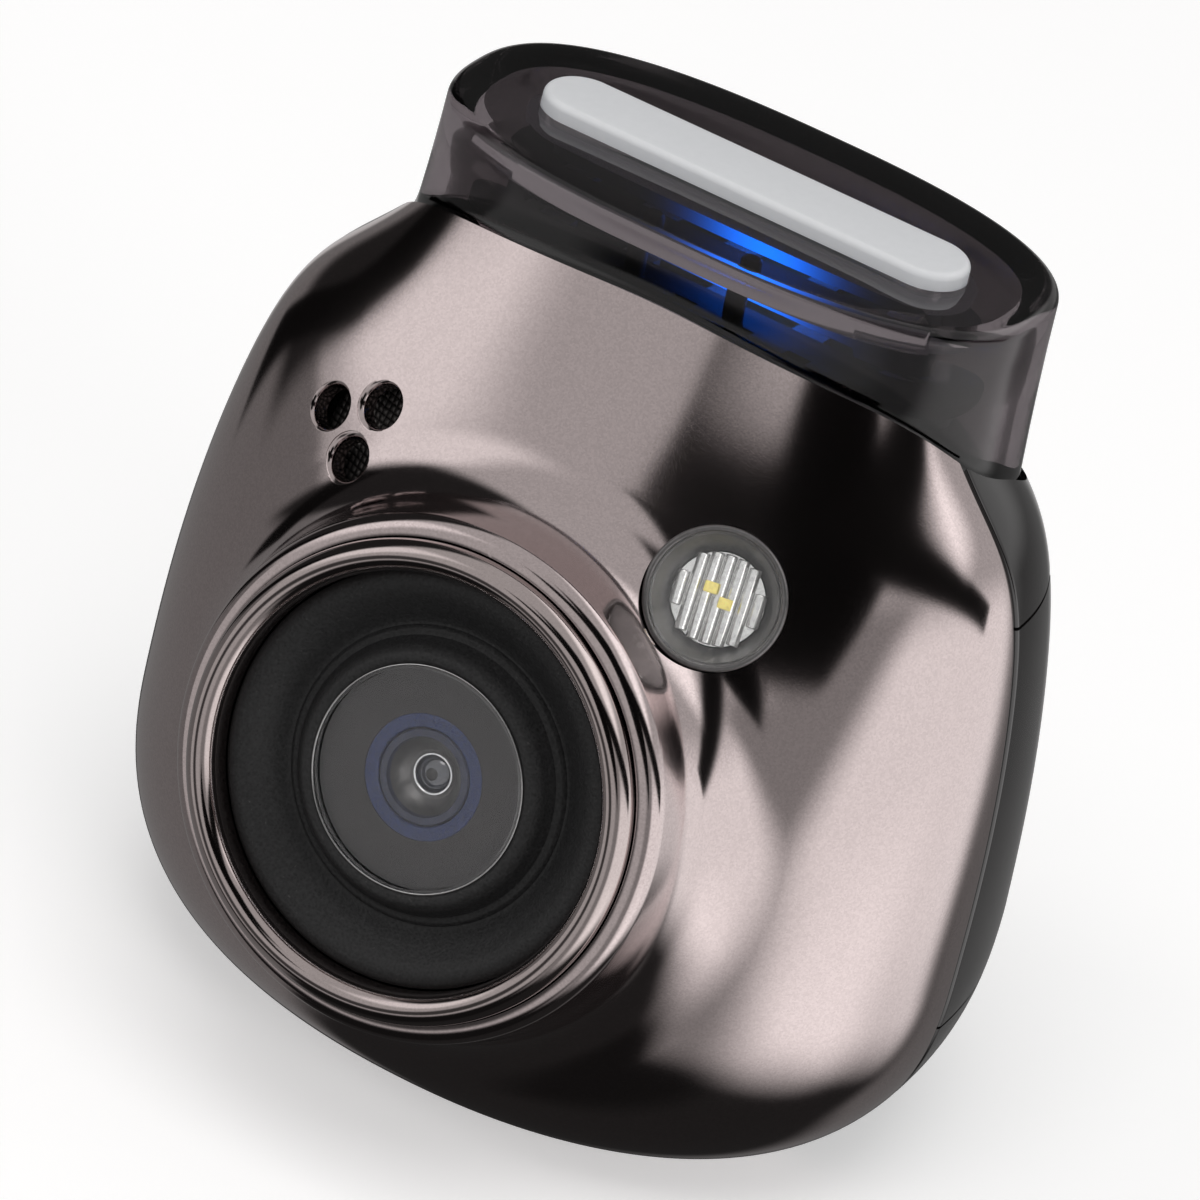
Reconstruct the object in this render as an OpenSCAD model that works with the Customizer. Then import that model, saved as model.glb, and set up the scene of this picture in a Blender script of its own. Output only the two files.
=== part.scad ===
// Palm-sized instant camera: painted bell-shaped body, round lens low on the front,
// smoky oval crown with a light bar on top, black rear shell with its controls.
// Front is -Y, up is +Z, millimetres. The origin is on the base, in the parting plane
// between the front and the rear shell.

/* [Body] */
// Overall width of the body
body_w = 42.3; // [38:0.1:46]
// Depth from the parting plane to the front of the body
front_depth = 15.2; // [13:0.1:17]
// Depth from the parting plane to the back of the body
back_depth = 20.5; // [18:0.1:23]
// Height where the belly reaches its full width
belly_z = 12.4; // [10:0.1:15]
// Height of the shoulder, where the body turns in under the crown
shoulder_z = 34.8; // [32:0.1:37]
// Height where the painted front meets the crown
lip_z = 42.4; // [41:0.1:43]
// Wall thickness of both shells
wall = 1.3; // [1:0.1:1.8]

/* [Crown] */
// Height of the top face of the crown
crown_z = 43.8; // [43:0.1:45]
// Half length of the crown's oval, at its top
crown_half_x = 15.1; // [14:0.1:16]
// Half depth of the crown's oval, at its top
crown_half_y = 7.85; // [7:0.05:8.5]
// Distance from the parting plane back to the crown's centre
crown_y = 4.05; // [3:0.05:5]
// Wall thickness of the crown
crown_wall = 1.2; // [1:0.1:1.6]
// Length of the light bar
bar_l = 22.2; // [18:0.1:24]
// Width of the light bar
bar_w = 3.9; // [3:0.1:5]
// Height that the light bar stands proud of the crown
bar_proud = 0.6; // [0.3:0.1:1]

/* [Lens] */
// Height of the centre of the cover glass
lens_z = 20.6; // [19:0.1:22]
// Distance from the parting plane forward to the cover glass
lens_y = 17.25; // [16:0.05:18.5]
// Upward tilt of the lens axis, in degrees
lens_tilt = 14; // [8:0.5:16]
// Radius of the cover glass
glass_r = 5.2; // [4.5:0.1:6]
// Outer radius of the rubber ring
rubber_r = 9.6; // [9:0.1:10.2]
// Outer radius of the bright bezel
bezel_r = 11.1; // [10.8:0.1:11.6]

/* [Flash] */
// Distance of the flash to the right of the centre
flash_x = 8.65; // [8:0.05:9.5]
// Height of the centre of the flash
flash_z = 31.25; // [30:0.05:32]
// Outer radius of the flash's rim
flash_r = 3.3; // [3:0.1:3.6]

/* [Speaker] */
// Radius of one speaker hole
hole_r = 1.1; // [0.9:0.05:1.3]
// Distance between the centres of two speaker holes
hole_pitch = 2.85; // [2.6:0.05:3.2]

/* [Controls] */
// Radius of the shutter button on the back
shutter_r = 7.5; // [6:0.1:9]
// Travel of the shutter button
shutter_travel = 0.8; // [0.5:0.1:1.2]
// Radius of the power and function buttons
button_r = 2; // [1.5:0.1:2.4]
// Height of the side door
door_h = 21; // [18:0.5:22]
// Depth of the side door, from front to back
door_d = 7.6; // [6:0.1:9]

/* [Mount] */
// Radius of the threaded hole in the base
tripod_r = 3.175; // [2.5:0.005:4]
// Depth of the threaded hole
tripod_depth = 5; // [4:0.1:6]

/* [Hidden] */

$fn = 72;
eps = 0.01;
// Gap between two fixed parts that touch
gap = 0.05;
// Gap around a part that moves
play = 0.15;

// ---- Outline of the body ----
// Share of the full width that the flat base has
base_share = 0.35;
belly_power = 2.55;
// Power of the superellipse that the body's plan follows
plan_power = 2.15;
// Shares that the width and depths lose between belly and shoulder
side_loss = 0.12;
front_loss = 0.475;
back_loss = 0.317;
// Lean of the front face above the shoulder, depth lost per millimetre of height
front_lean = 0.571;
// Power of the turn-in above the shoulder, and the shares lost there
cap_power = 0.6;
cap_loss = 0.38;
cap_back_loss = 0.5;

function belly(z) = z < belly_z
    ? base_share + (1 - base_share)
        * pow(1 - pow((belly_z - z) / belly_z, belly_power), 1 / belly_power)
    : 1;
function rise(z) = max(0, min(1, (z - belly_z) / (shoulder_z - belly_z)));
function cap(z) = max(0, min(1, (z - shoulder_z) / (lip_z - shoulder_z)));
function half_width(z) = body_w / 2 * belly(z)
    * (1 - side_loss * pow(rise(z), 2.47)) * (1 - cap_loss * pow(cap(z), cap_power));
function front_at(z) = front_depth * belly(z) * (1 - front_loss * pow(rise(z), 2.35))
    - front_lean * max(0, z - shoulder_z);
function back_at(z) = back_depth * belly(z) * (1 - back_loss * rise(z))
    * (1 - cap_back_loss * pow(cap(z), cap_power));
function rounded(v) = sign(v) * pow(abs(v), 2 / plan_power);

// Sideways distance to the outside of the rear shell, at a depth y and a height z
function side_at(y, z) = half_width(z)
    * pow(1 - pow(abs(y) / back_at(z), plan_power), 1 / plan_power);

// ---- Half shells ----
ring_steps = 28;
foot_levels = 7;
wall_levels = 8;
cap_levels = 6;
levels = concat(
    [for (k = [0:foot_levels]) belly_z * (1 - cos(90 * k / foot_levels))],
    [for (k = [1:wall_levels]) belly_z + (shoulder_z - belly_z) * k / wall_levels],
    [for (k = [1:cap_levels]) shoulder_z + (lip_z - shoulder_z) * pow(k / cap_levels, 2)]
);

// One half ring of points at height z, inset by inset; side is -1 for front and 1 for rear
function half_ring(z, shown_z, inset, side) = let (
        w = half_width(z) - inset,
        d = (side < 0 ? front_at(z) : back_at(z)) - inset
    ) [for (i = [0:ring_steps]) let (t = 180 * i / ring_steps)
        [w * rounded(cos(t)), side * d * pow(sin(t), 2 / plan_power), shown_z]];

// Closed wall between an outer and an inner half surface, open at the top
module half_shell(side) {
    outer = [for (z = levels) half_ring(z, z, 0, side)];
    inner = [for (z = levels) half_ring(z, wall + z * (lip_z - wall) / lip_z, wall, side)];
    rows = len(levels);
    cols = ring_steps + 1;
    points = [for (ring = concat(outer, inner)) each ring];
    function outside(k, i) = k * cols + i;
    function inside(k, i) = (rows + k) * cols + i;
    skin = [for (k = [0:rows - 2], i = [0:cols - 2]) each [
        [outside(k, i), outside(k + 1, i), outside(k + 1, i + 1)],
        [outside(k, i), outside(k + 1, i + 1), outside(k, i + 1)],
        [inside(k, i), inside(k + 1, i + 1), inside(k + 1, i)],
        [inside(k, i), inside(k, i + 1), inside(k + 1, i + 1)]
    ]];
    parting = [for (k = [0:rows - 2]) each [
        [outside(k, 0), inside(k, 0), inside(k + 1, 0), outside(k + 1, 0)],
        [outside(k, cols - 1), outside(k + 1, cols - 1), inside(k + 1, cols - 1),
            inside(k, cols - 1)]
    ]];
    top = [for (i = [0:cols - 2]) [outside(rows - 1, i), inside(rows - 1, i),
        inside(rows - 1, i + 1), outside(rows - 1, i + 1)]];
    floor_out = [for (i = [0:cols - 1]) outside(0, i)];
    floor_in = [for (i = [0:cols - 1]) inside(0, cols - 1 - i)];
    floor_edge = [outside(0, 0), outside(0, cols - 1), inside(0, cols - 1), inside(0, 0)];
    faces = concat(skin, parting, top, [floor_out, floor_in, floor_edge]);
    polyhedron(points, side > 0 ? faces : [for (f = faces) [for (j = [len(f) - 1:-1:0]) f[j]]]);
}

// ---- Outline of the crown ----
crown_power = 2.6;
// Growth of the oval from the top face down to its foot
crown_flare = 0.7;
crown_foot_z = 34;
crown_steps = 72;

function crown_ring(grow, z) = [for (i = [0:crown_steps - 1])
    let (t = 360 * i / crown_steps, c = cos(t), s = sin(t))
    [(crown_half_x + grow) * sign(c) * pow(abs(c), 2 / crown_power),
        crown_y + (crown_half_y + grow) * sign(s) * pow(abs(s), 2 / crown_power), z]];
function flat(ring) = [for (p = ring) [p[0], p[1]]];
// Growth of the crown's wall at height z
function crown_grow(z) = crown_flare * pow((crown_z - z) / (crown_z - crown_foot_z), 1.5);

// Solid whose sections are a stack of closed rings, lowest first
module ring_stack(rings) {
    n = len(rings[0]);
    m = len(rings);
    sides = [for (k = [0:m - 2], i = [0:n - 1]) let (j = (i + 1) % n) each [
        [k * n + i, (k + 1) * n + i, (k + 1) * n + j],
        [k * n + i, (k + 1) * n + j, k * n + j]
    ]];
    bottom = [for (i = [0:n - 1]) i];
    top = [for (i = [0:n - 1]) m * n - 1 - i];
    polyhedron([for (ring = rings) each ring], concat(sides, [bottom, top]));
}

// The hole in the shells that the crown stands in
module crown_opening() {
    translate([0, 0, crown_foot_z - 1])
        linear_extrude(crown_z - crown_foot_z)
            polygon(flat(crown_ring(crown_flare + gap, 0)));
}

// Rounded bar along X, with its ends as half circles
module stadium(length, width, height) {
    linear_extrude(height) {
        square([length - width, width], center = true);
        for (x = [-1, 1] * (length - width) / 2)
            translate([x, 0]) circle(d = width);
    }
}

// ---- Axes of the lens, the flash and the speaker ----
// Height above the cover glass of each part is measured along the lens axis
module on_lens() {
    translate([0, -lens_y, lens_z]) rotate([90 - lens_tilt, 0, 0]) children();
}
flash_turn = 14.7;
flash_up = 29;
flash_y = -9.45;
module on_flash() {
    translate([flash_x, flash_y, flash_z]) rotate([90 - flash_up, 0, flash_turn]) children();
}
speaker_at = [-10.85, -8.95, 31];
speaker_turn = -22;
speaker_up = 27;
// Turn of the triangle of holes about the speaker's axis
hole_turn = 62;
module on_speaker() {
    translate(speaker_at) rotate([90 - speaker_up, 0, speaker_turn]) children();
}
module at_holes() {
    for (a = [0, 120, 240])
        rotate([0, 0, a + hole_turn]) translate([hole_pitch / sqrt(3), 0, 0]) children();
}

// Tube with its base at z
module tube(r_out, r_in, z, height) {
    translate([0, 0, z]) difference() {
        cylinder(r = r_out, h = height);
        translate([0, 0, -eps]) cylinder(r = r_in, h = height + 2 * eps);
    }
}

// ---- Side and back of the rear shell ----
// Frame on the left side of the rear shell: its local Z points straight out of the surface
side_turn = 15;
side_y = 4.5;
module on_left(z) {
    translate([-side_at(side_y, z), side_y, z]) rotate([0, 0, -side_turn]) rotate([0, -90, 0])
        children();
}
// Frame of the side door: X out, Y towards the back, Z up from the door's lower edge
door_low_z = 9.8;
door_turn = 9;
module on_door() {
    translate([half_width(belly_z) - 0.1, 0, door_low_z]) rotate([0, 0, door_turn]) children();
}
// Frame of the shutter button, which leans back with the back of the body
shutter_z = 19;
shutter_lean = 16;
module on_shutter() {
    translate([0, back_at(shutter_z), shutter_z]) rotate([shutter_lean - 90, 0, 0]) children();
}

// ---- Chassis and its posts ----
chassis_y = 1;
chassis_t = 1.2;
post_r = 1.7;
screw_r = 0.6;
posts = [[-12, 9.5], [12, 9.5], [-14.5, 22.5], [13.5, 28.5]];
rear_screw_x = 8;
rear_screw_z = 5;
// Depth at which the heads of the rear screws sit
screw_seat_y = 14.4;

// Depth to the outside at a place on the front or the back
function skin_depth(x, z, depth) = depth
    * pow(1 - pow(abs(x) / half_width(z), plan_power), 1 / plan_power);
// Depth that a post may reach without showing, the least around its rim
function front_reach(x, z) = min(
    skin_depth(abs(x) + post_r, z - post_r, front_at(z - post_r)),
    skin_depth(abs(x) + post_r, z + post_r, front_at(z + post_r))) - 0.1;
// Rod along Y from y0 to y1
module rod(radius, y0, y1) {
    translate([0, y0, 0]) rotate([-90, 0, 0]) cylinder(r = radius, h = y1 - y0);
}
module at_rear_screws() {
    for (x = [-1, 1] * rear_screw_x) translate([x, 0, rear_screw_z]) children();
}

// ---- Base ----
base_r = 5.3;
base_t = 1.5;
insert_r = 3.9;
insert_h = tripod_depth + 0.8;
module base_hole() {
    translate([0, 0, -1]) cylinder(r = base_r + gap, h = 1 + 2 * wall);
}

// ---- Front shell ----
horn_rear_r = 13;
horn_front_r = 12;
horn_front = 0.6;
horn_depth = 7;
bore_reach = 40;
microphone_at = [15, -2.6, 24];

module front_shell() {
    color("#8f8585") difference() {
        union() {
            half_shell(-1);
            // Raised seat that carries the lens bezel
            on_lens() translate([0, 0, -horn_depth])
                cylinder(r1 = horn_rear_r, r2 = horn_front_r, h = horn_depth + horn_front);
            for (p = posts)
                translate([p[0], 0, p[1]]) rod(post_r, -front_reach(p[0], p[1]), chassis_y - gap);
        }
        on_lens() translate([0, 0, -bore_reach / 2])
            cylinder(r = bezel_r + gap, h = bore_reach);
        on_flash() translate([0, 0, -6]) cylinder(r = flash_r + gap, h = 12);
        on_speaker() {
            at_holes() translate([0, 0, -6]) cylinder(r = hole_r, h = 12);
            // Seat of the mesh, and room for the speaker behind it
            translate([0, 0, mesh_z - gap]) cylinder(r = mesh_r + gap, h = mesh_t + 2 * gap);
            translate([0, 0, speaker_rear - 1])
                cylinder(r = speaker_r + gap, h = mesh_z + gap - speaker_rear + 1);
        }
        crown_opening();
        for (p = posts) translate([p[0], 0, p[1]]) rod(screw_r, chassis_y - 6, chassis_y);
        base_hole();
    }
}

module lens_bezel() {
    bead_r = (bezel_r - rubber_r) / 2;
    rim = bezel_front - bead_r;
    color("#b9aeae") on_lens() difference() {
        union() {
            tube(bezel_r, rubber_r, bezel_rear, rim - bezel_rear);
            translate([0, 0, rim]) rotate_extrude()
                translate([rubber_r + bead_r, 0]) circle(r = bead_r);
        }
    }
}
bezel_front = 1.7;
bezel_rear = -2.4;

// ---- Lens ----
seat_t = 0.8;
barrel_r = 4.6;
barrel_front = -1.75;
barrel_l = 6.6;
holder_w = 9;
holder_h = 3;
sensor_w = 7.4;
iris_r = 2.3;
pupil_r = 0.95;
glass_t = 0.9;
mask_t = 0.3;

// Depth of the back of the rubber ring, and the radius of the foot of its trough
rubber_rear = -1.8;
trough_r = 6.85;
module lens_rubber_ring() {
    outer = rubber_r - gap;
    color("#1f1f20") on_lens() union() {
        // Trough between the bezel and the glass, with a step at its foot
        rotate_extrude() polygon([[glass_r + gap, rubber_rear], [outer, rubber_rear], [outer, 0.1],
            [9, 0.15], [8.6, 0], [7.3, -1.15], [trough_r, -1.3], [6.5, -1.2],
            [glass_r + 0.5, -0.1], [glass_r + gap, 0]]);
        // Beads beside the glass and on the outer edge
        translate([0, 0, -0.4]) rotate_extrude() translate([glass_r + 0.6, 0]) circle(r = 0.45);
        translate([0, 0, -0.45]) rotate_extrude() translate([8.9, 0]) circle(r = 0.6);
    }
}
module lens_seat() {
    color("#232224") on_lens() {
        tube(bezel_r - gap, barrel_r + gap, bezel_rear - gap - seat_t, seat_t);
        tube(rubber_r - gap, glass_r + gap, bezel_rear - gap, rubber_rear - bezel_rear);
    }
}
module cover_glass() {
    color("#3a3434") on_lens() translate([0, 0, -glass_t]) cylinder(r = glass_r, h = glass_t);
}
module lens_mask() {
    color("#2b2627") on_lens()
        tube(glass_r, trim_r + gap, -glass_t - gap - mask_t, mask_t);
}
trim_r = 3.05;
module lens_trim_ring() {
    color("#27315a") on_lens() tube(trim_r, iris_r, barrel_front + gap, -glass_t - gap - barrel_front
        - 2 * gap);
}
module lens_barrel() {
    color("#19191b") on_lens() difference() {
        translate([0, 0, barrel_front - barrel_l]) cylinder(r = barrel_r, h = barrel_l);
        translate([0, 0, barrel_front - barrel_l - eps]) cylinder(r = 2.1, h = 3.5);
        translate([0, 0, barrel_front - 4]) cylinder(r = pupil_r, h = 3);
        translate([0, 0, barrel_front - 1.7]) cylinder(r1 = pupil_r, r2 = iris_r, h = 1.7 + eps);
    }
}
// Lens with one domed face towards the front, standing on its flat back
module domed_lens(radius, height, curve) {
    intersection() {
        cylinder(r = radius, h = height);
        translate([0, 0, height - curve]) sphere(r = curve);
    }
}
module front_lens() {
    color("#8f97a3") on_lens() translate([0, 0, barrel_front - 3.2])
        domed_lens(pupil_r - gap, 1.2, 1.3);
}
module rear_lens() {
    color("#8f97a3") on_lens() translate([0, 0, barrel_front - barrel_l + 1])
        domed_lens(2.1 - gap, 1.4, 3);
}
module lens_holder() {
    color("#232224") on_lens() difference() {
        translate([-holder_w / 2, -holder_w / 2, barrel_front - barrel_l - gap - holder_h])
            cube([holder_w, holder_w, holder_h]);
        translate([0, 0, barrel_front - barrel_l - holder_h - 1]) cylinder(r = 2.6, h = holder_h + 2);
    }
}
module image_sensor() {
    color("#2e5a3c") on_lens()
        translate([-sensor_w / 2, -sensor_w / 2, barrel_front - barrel_l - holder_h - 1])
            cube([sensor_w, sensor_w, 0.8]);
}

// ---- Flash ----
window_r = 3;
reflector_r = 2.1;
cup_rear = -3.4;
module flash_rim() {
    color("#4a4646") on_flash() difference() {
        translate([0, 0, cup_rear]) cylinder(r = flash_r, h = 0.3 - cup_rear);
        translate([0, 0, -0.7]) cylinder(r = window_r + gap, h = 2);
        translate([0, 0, -1.9]) cylinder(r1 = reflector_r + gap, r2 = window_r - 0.15, h = 1.25);
        translate([0, 0, cup_rear - 1]) cylinder(r = reflector_r + gap, h = 3);
    }
}
module flash_window() {
    color("#c9c4c4") on_flash() translate([0, 0, -0.65]) cylinder(r = window_r, h = 0.7);
}
rib_count = 7;
module flash_reflector() {
    pitch = 2 * reflector_r / rib_count;
    color("#c8c8c4") on_flash() intersection() {
        translate([0, 0, -1.9]) cylinder(r = reflector_r, h = 1);
        union() {
            translate([0, 0, -1.75]) cube([5, 5, 0.5], center = true);
            for (k = [0:rib_count - 1])
                translate([(k - (rib_count - 1) / 2) * pitch, 0, -1.5]) rotate([90, 0, 0])
                    cylinder(r = pitch / 2 - 0.01, h = 5, center = true);
        }
    }
}
module flash_leds() {
    color("#e8d98a") on_flash() for (x = [-0.5, 0.5])
        translate([x - 0.4, -0.5, -2.55]) cube([0.8, 1, 0.4]);
}
module flash_board() {
    color("#2e5a3c") on_flash() translate([0, 0, cup_rear]) cylinder(r = reflector_r, h = 0.8);
}

// ---- Speaker and microphone ----
mesh_r = 3.1;
mesh_t = 0.3;
mesh_z = -2.2;
speaker_r = 3.6;
speaker_rear = -4.6;
speaker_t = 1.6;
module speaker_mesh() {
    color("#3b3735") on_speaker() translate([0, 0, mesh_z]) cylinder(r = mesh_r, h = mesh_t);
}
module speaker() {
    rim_z = speaker_rear + speaker_t - eps;
    color("#2a2828") on_speaker() {
        translate([0, 0, speaker_rear]) cylinder(r = speaker_r, h = speaker_t);
        tube(speaker_r, speaker_r - 0.6, rim_z, mesh_z - gap - rim_z);
    }
}
module microphone() {
    color("#9a9a96") translate(microphone_at - [1.2, 0, 1.5]) cube([2.4, 0.9, 3]);
}

// ---- Crown ----
module crown_cover() {
    top_round = 0.5;
    wall_rings = [for (z = [crown_foot_z, 36, 38, 40, 42, crown_z - top_round])
        crown_ring(crown_grow(z), z)];
    top_rings = [for (a = [30, 60, 90])
        crown_ring(top_round * (cos(a) - 1), crown_z - top_round + top_round * sin(a))];
    inner_rings = [for (z = [crown_foot_z - 1, 36, 38, 40, crown_z - crown_wall])
        crown_ring(crown_grow(max(z, crown_foot_z)) - crown_wall, z)];
    color("#3d3838") difference() {
        ring_stack(concat(wall_rings, top_rings));
        ring_stack(inner_rings);
        translate([0, crown_y, crown_z - 3]) stadium(bar_l + 2 * gap, bar_w + 2 * gap, 5);
    }
}
module light_bar() {
    color("#cdd1d2") translate([0, crown_y, 0]) {
        translate([0, 0, crown_z - bar_h]) stadium(bar_l, bar_w, bar_h + bar_proud);
        // Flange that stops the bar under the cover
        translate([0, 0, crown_z - bar_h])
            stadium(bar_l + 1.2, bar_w + 1.2, bar_h - crown_wall - gap);
    }
}
// Depth of the light bar below the top face of the crown
bar_h = 2.2;
guide_z = 39.4;
guide_w = 3.2;
module light_guide() {
    color("#7fb2e6") translate([0, crown_y, guide_z])
        stadium(bar_l - 1, guide_w, crown_z - bar_h - gap - guide_z);
}
bracket_z = 38.2;
module crown_bracket() {
    color("#2a2829") translate([0, crown_y, bracket_z]) difference() {
        union() {
            stadium(26, 10.4, 0.8);
            // Small posts beside the bar
            for (x = [-2.8, 2.4]) translate([x, -4.2, 0]) cylinder(r = 0.5, h = 3.2);
        }
        translate([0, 0, -1]) stadium(bar_l - 0.8, 3.4, 3);
        for (x = [-9:3:9]) translate([x - 0.6, -5.4, -1]) cube([1.2, 1.2, 3]);
    }
}
board_z = 36.6;
board_t = 0.8;
led_w = 1.6;
module light_board() {
    color("#2e5a3c") translate([0, crown_y, board_z]) stadium(24, 8, board_t);
}
module light_leds() {
    color("#e9edf0") for (x = [-9:4.5:9])
        translate([x - led_w / 2, crown_y - led_w / 2, board_z + board_t + eps])
            cube([led_w, led_w, 0.7]);
}

// ---- Rear shell ----
button_zs = [26, 20.5];
mode_z = 13.5;
mode_travel = 1.5;
mode_knob = [3.2, 1.7];
collar = [-4.2, -1.6];
hinge_x = -0.85;
hinge_z = 0.95;
hinge_r = 0.75;
lug_r = 0.65;
pin_r = 0.35;
hinge_room_r = 1.85;
// Room behind the door for the sockets, and the reach of a cut through the wall
bay_depth = 12;
cut_reach = 6;

module rear_shell() {
    color("#14110f") difference() {
        union() {
            half_shell(1);
            // Collar that guides the shutter button
            on_shutter() tube(shutter_r + 1.4, shutter_r + play, collar[0], collar[1] - collar[0]);
            at_rear_screws() rod(1.6, chassis_y + chassis_t + gap, screw_seat_y + 1);
        }
        on_shutter() translate([0, 0, collar[0] - 2]) cylinder(r = shutter_r + play, h = 12);
        for (z = button_zs) on_left(z)
            translate([0, 0, -cut_reach / 2]) cylinder(r = button_r + play, h = cut_reach);
        // Slot of the mode slider
        on_left(mode_z) cube([mode_knob[0] + 2 * (mode_travel + play), mode_knob[1] + 2 * play,
            cut_reach], center = true);
        // Opening of the side door and the swing of its lower edge
        on_door() {
            translate([-bay_depth / 2, -4, -play])
                cube([bay_depth, door_d + 4 + play, door_h + 2 * play]);
            translate([hinge_x, -4, hinge_z]) rod(hinge_room_r, 0, door_d + 4 + play);
        }
        crown_opening();
        base_hole();
        at_rear_screws() {
            rod(screw_r + gap, 0, 20);
            rod(1.25, screw_seat_y, 24);
        }
    }
}
module rear_screws() {
    color("#8a8a8c") at_rear_screws() {
        rod(screw_r, -0.6, screw_seat_y + eps);
        rod(1.1, screw_seat_y, screw_seat_y + 0.8);
    }
}

// ---- Base ----
module base_plate() {
    color("#1c1a1a") tube(base_r, insert_r + gap, 0, base_t);
}
module tripod_insert() {
    color("#b9975a") difference() {
        cylinder(r = insert_r, h = insert_h);
        translate([0, 0, -eps]) cylinder(r = tripod_r, h = tripod_depth);
    }
}

// ---- Chassis, boards and battery ----
module chassis() {
    color("#3b3b3f") difference() {
        union() {
            translate([-16.2, chassis_y, 4]) cube([31.6, chassis_t, 27]);
            // Foot that the base insert is held by
            translate([-6, -3.5, base_t + gap]) cube([12, 11, 1.8]);
            translate([0, 0, base_t + gap]) cylinder(r = base_r, h = 5.8);
            at_rear_screws() rod(1.6, -1.8, chassis_y + eps);
        }
        translate([0, 0, -1]) cylinder(r = insert_r + gap, h = 1 + insert_h + gap);
        for (p = posts) translate([p[0], 0, p[1]]) rod(screw_r + gap, -1, 4);
        at_rear_screws() rod(screw_r, -1, 4);
        // Notch beside the charging socket, and a window behind the lens
        translate([10.4, 0, 15]) cube([10, 4, 12]);
        translate([-6, 0, 12]) cube([12, 4, 12]);
    }
}
module chassis_screws() {
    color("#8a8a8c") for (p = posts) translate([p[0], 0, p[1]]) {
        rod(screw_r, chassis_y - 5.5, chassis_y + chassis_t + gap);
        rod(1.2, chassis_y + chassis_t, chassis_y + chassis_t + 0.8);
    }
}
module main_board() {
    color("#2e5a3c") difference() {
        translate([-11.5, -2.7, 12]) cube([22.5, 0.8, 18]);
        translate([-3, -4, 11]) cube([6, 4, 3]);
    }
}
module battery() {
    color("#7f8790") translate([-9, 3.5, 8.4]) cube([18, 5.4, 18.5]);
}

// ---- Buttons ----
cup_wall = 1.2;
flange_t = 0.8;
module shutter_button() {
    color("#1a1716") on_shutter() difference() {
        union() {
            intersection() {
                translate([0, 0, -5]) cylinder(r = shutter_r, h = 6);
                translate([0, 0, 0.2 - 28]) sphere(r = 28);
            }
            translate([0, 0, collar[0] - play - flange_t]) cylinder(r = shutter_r + 0.8, h = flange_t);
        }
        translate([0, 0, -6]) cylinder(r = shutter_r - cup_wall, h = 4.2);
    }
}
module shutter_dome() {
    color("#6d6a68") on_shutter() {
        translate([0, 0, -7.6]) cylinder(r = shutter_r - 1, h = 0.8);
        translate([0, 0, -6.8 - eps]) cylinder(r1 = 3, r2 = 2, h = 4);
    }
}
module side_button(z) {
    on_left(z) {
        translate([0, 0, -1.8]) cylinder(r = button_r, h = 2.1);
        translate([0, 0, -2.35]) cylinder(r = button_r + 0.6, h = 0.56);
    }
}
module power_button() {
    color("#2b2727") side_button(button_zs[0]);
}
module function_button() {
    color("#2b2727") side_button(button_zs[1]);
}
module button_switches() {
    color("#9a9a96") for (z = button_zs) on_left(z) {
        translate([-2.4, -0.9, -4.6]) cube([4.8, 3.3, 0.8]);
        translate([0, 0, -3.85]) cylinder(r = 1.1, h = 0.95);
    }
}
module mode_slider() {
    color("#2b2727") on_left(mode_z) translate([-mode_travel, 0, 0]) {
        translate([-mode_knob[0] / 2, -mode_knob[1] / 2, -1.8])
            cube([mode_knob[0], mode_knob[1], 2.2]);
        translate([-2.5, -1.7, -2.4]) cube([5, 3.4, 0.61]);
    }
}
module mode_switch() {
    color("#9a9a96") on_left(mode_z) translate([-4, -1.8, -4.4]) cube([8, 3.6, 1.8]);
}

// ---- Side door and its sockets ----
knuckle_y = [2.2, 5.4];
lug_ys = [[1, 2], [5.6, 6.6]];
module port_door() {
    color("#14110f") difference() {
        union() {
            intersection() {
                half_shell(1);
                on_door() translate([-4, -4, 0]) cube([8, door_d + 4, door_h]);
                translate([0, gap, 0]) cube(60);
            }
            on_door() {
                translate([hinge_x, 0, hinge_z]) rod(hinge_r, knuckle_y[0], knuckle_y[1]);
            }
        }
        on_door() {
            translate([hinge_x, 0, hinge_z]) rod(pin_r + 0.05, 0, door_d);
            // Notches that clear the lugs as the door swings
            for (y = lug_ys) translate([-4, y[0] - play, -1])
                cube([4 + hinge_x + lug_r + play, y[1] - y[0] + 2 * play,
                    1 + hinge_z + lug_r + play]);
            // Relief that lets the lower front corner turn inwards past the front shell
            translate([-4, -4, -1]) cube([8, 4 + 2 * play, 1 + 2 * hinge_z]);
        }
    }
}
module hinge_pin() {
    color("#b5b5b8") on_door() translate([hinge_x, 0, hinge_z]) rod(pin_r, lug_ys[0][0], lug_ys[1][1]);
}
usb_at = [2.4, 11];
card_at = [5.6, 11];
module port_bay() {
    color("#1f1d1d") on_door() difference() {
        union() {
            translate([-4.3, 0.4, 0.2]) cube([1, 6.8, 20.4]);
            for (y = lug_ys) {
                translate([hinge_x, 0, hinge_z]) rod(lug_r, y[0], y[1]);
                translate([-3.4, y[0], hinge_z - 0.5])
                    cube([3.4 + hinge_x, y[1] - y[0], 1]);
            }
        }
        translate([hinge_x, 0, hinge_z]) rod(pin_r, 0, door_d);
        translate([-5, usb_at[0] - 1.65, usb_at[1] - 4.55]) cube([2, 3.3, 9.1]);
        translate([-5, card_at[0] - 1, card_at[1] - 6.4]) cube([2, 2, 12.8]);
    }
}
module usb_socket() {
    color("#c2c4c6") on_door() translate([-9.2, usb_at[0], usb_at[1]])
        rotate([0, 90, 0]) {
            difference() {
                stadium(8.9, 3.2, 6.3);
                translate([0, 0, 0.8]) stadium(8.3, 2.6, 6.3);
            }
            translate([-3.3, -0.35, 0.5]) cube([6.6, 0.7, 5]);
        }
}
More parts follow.
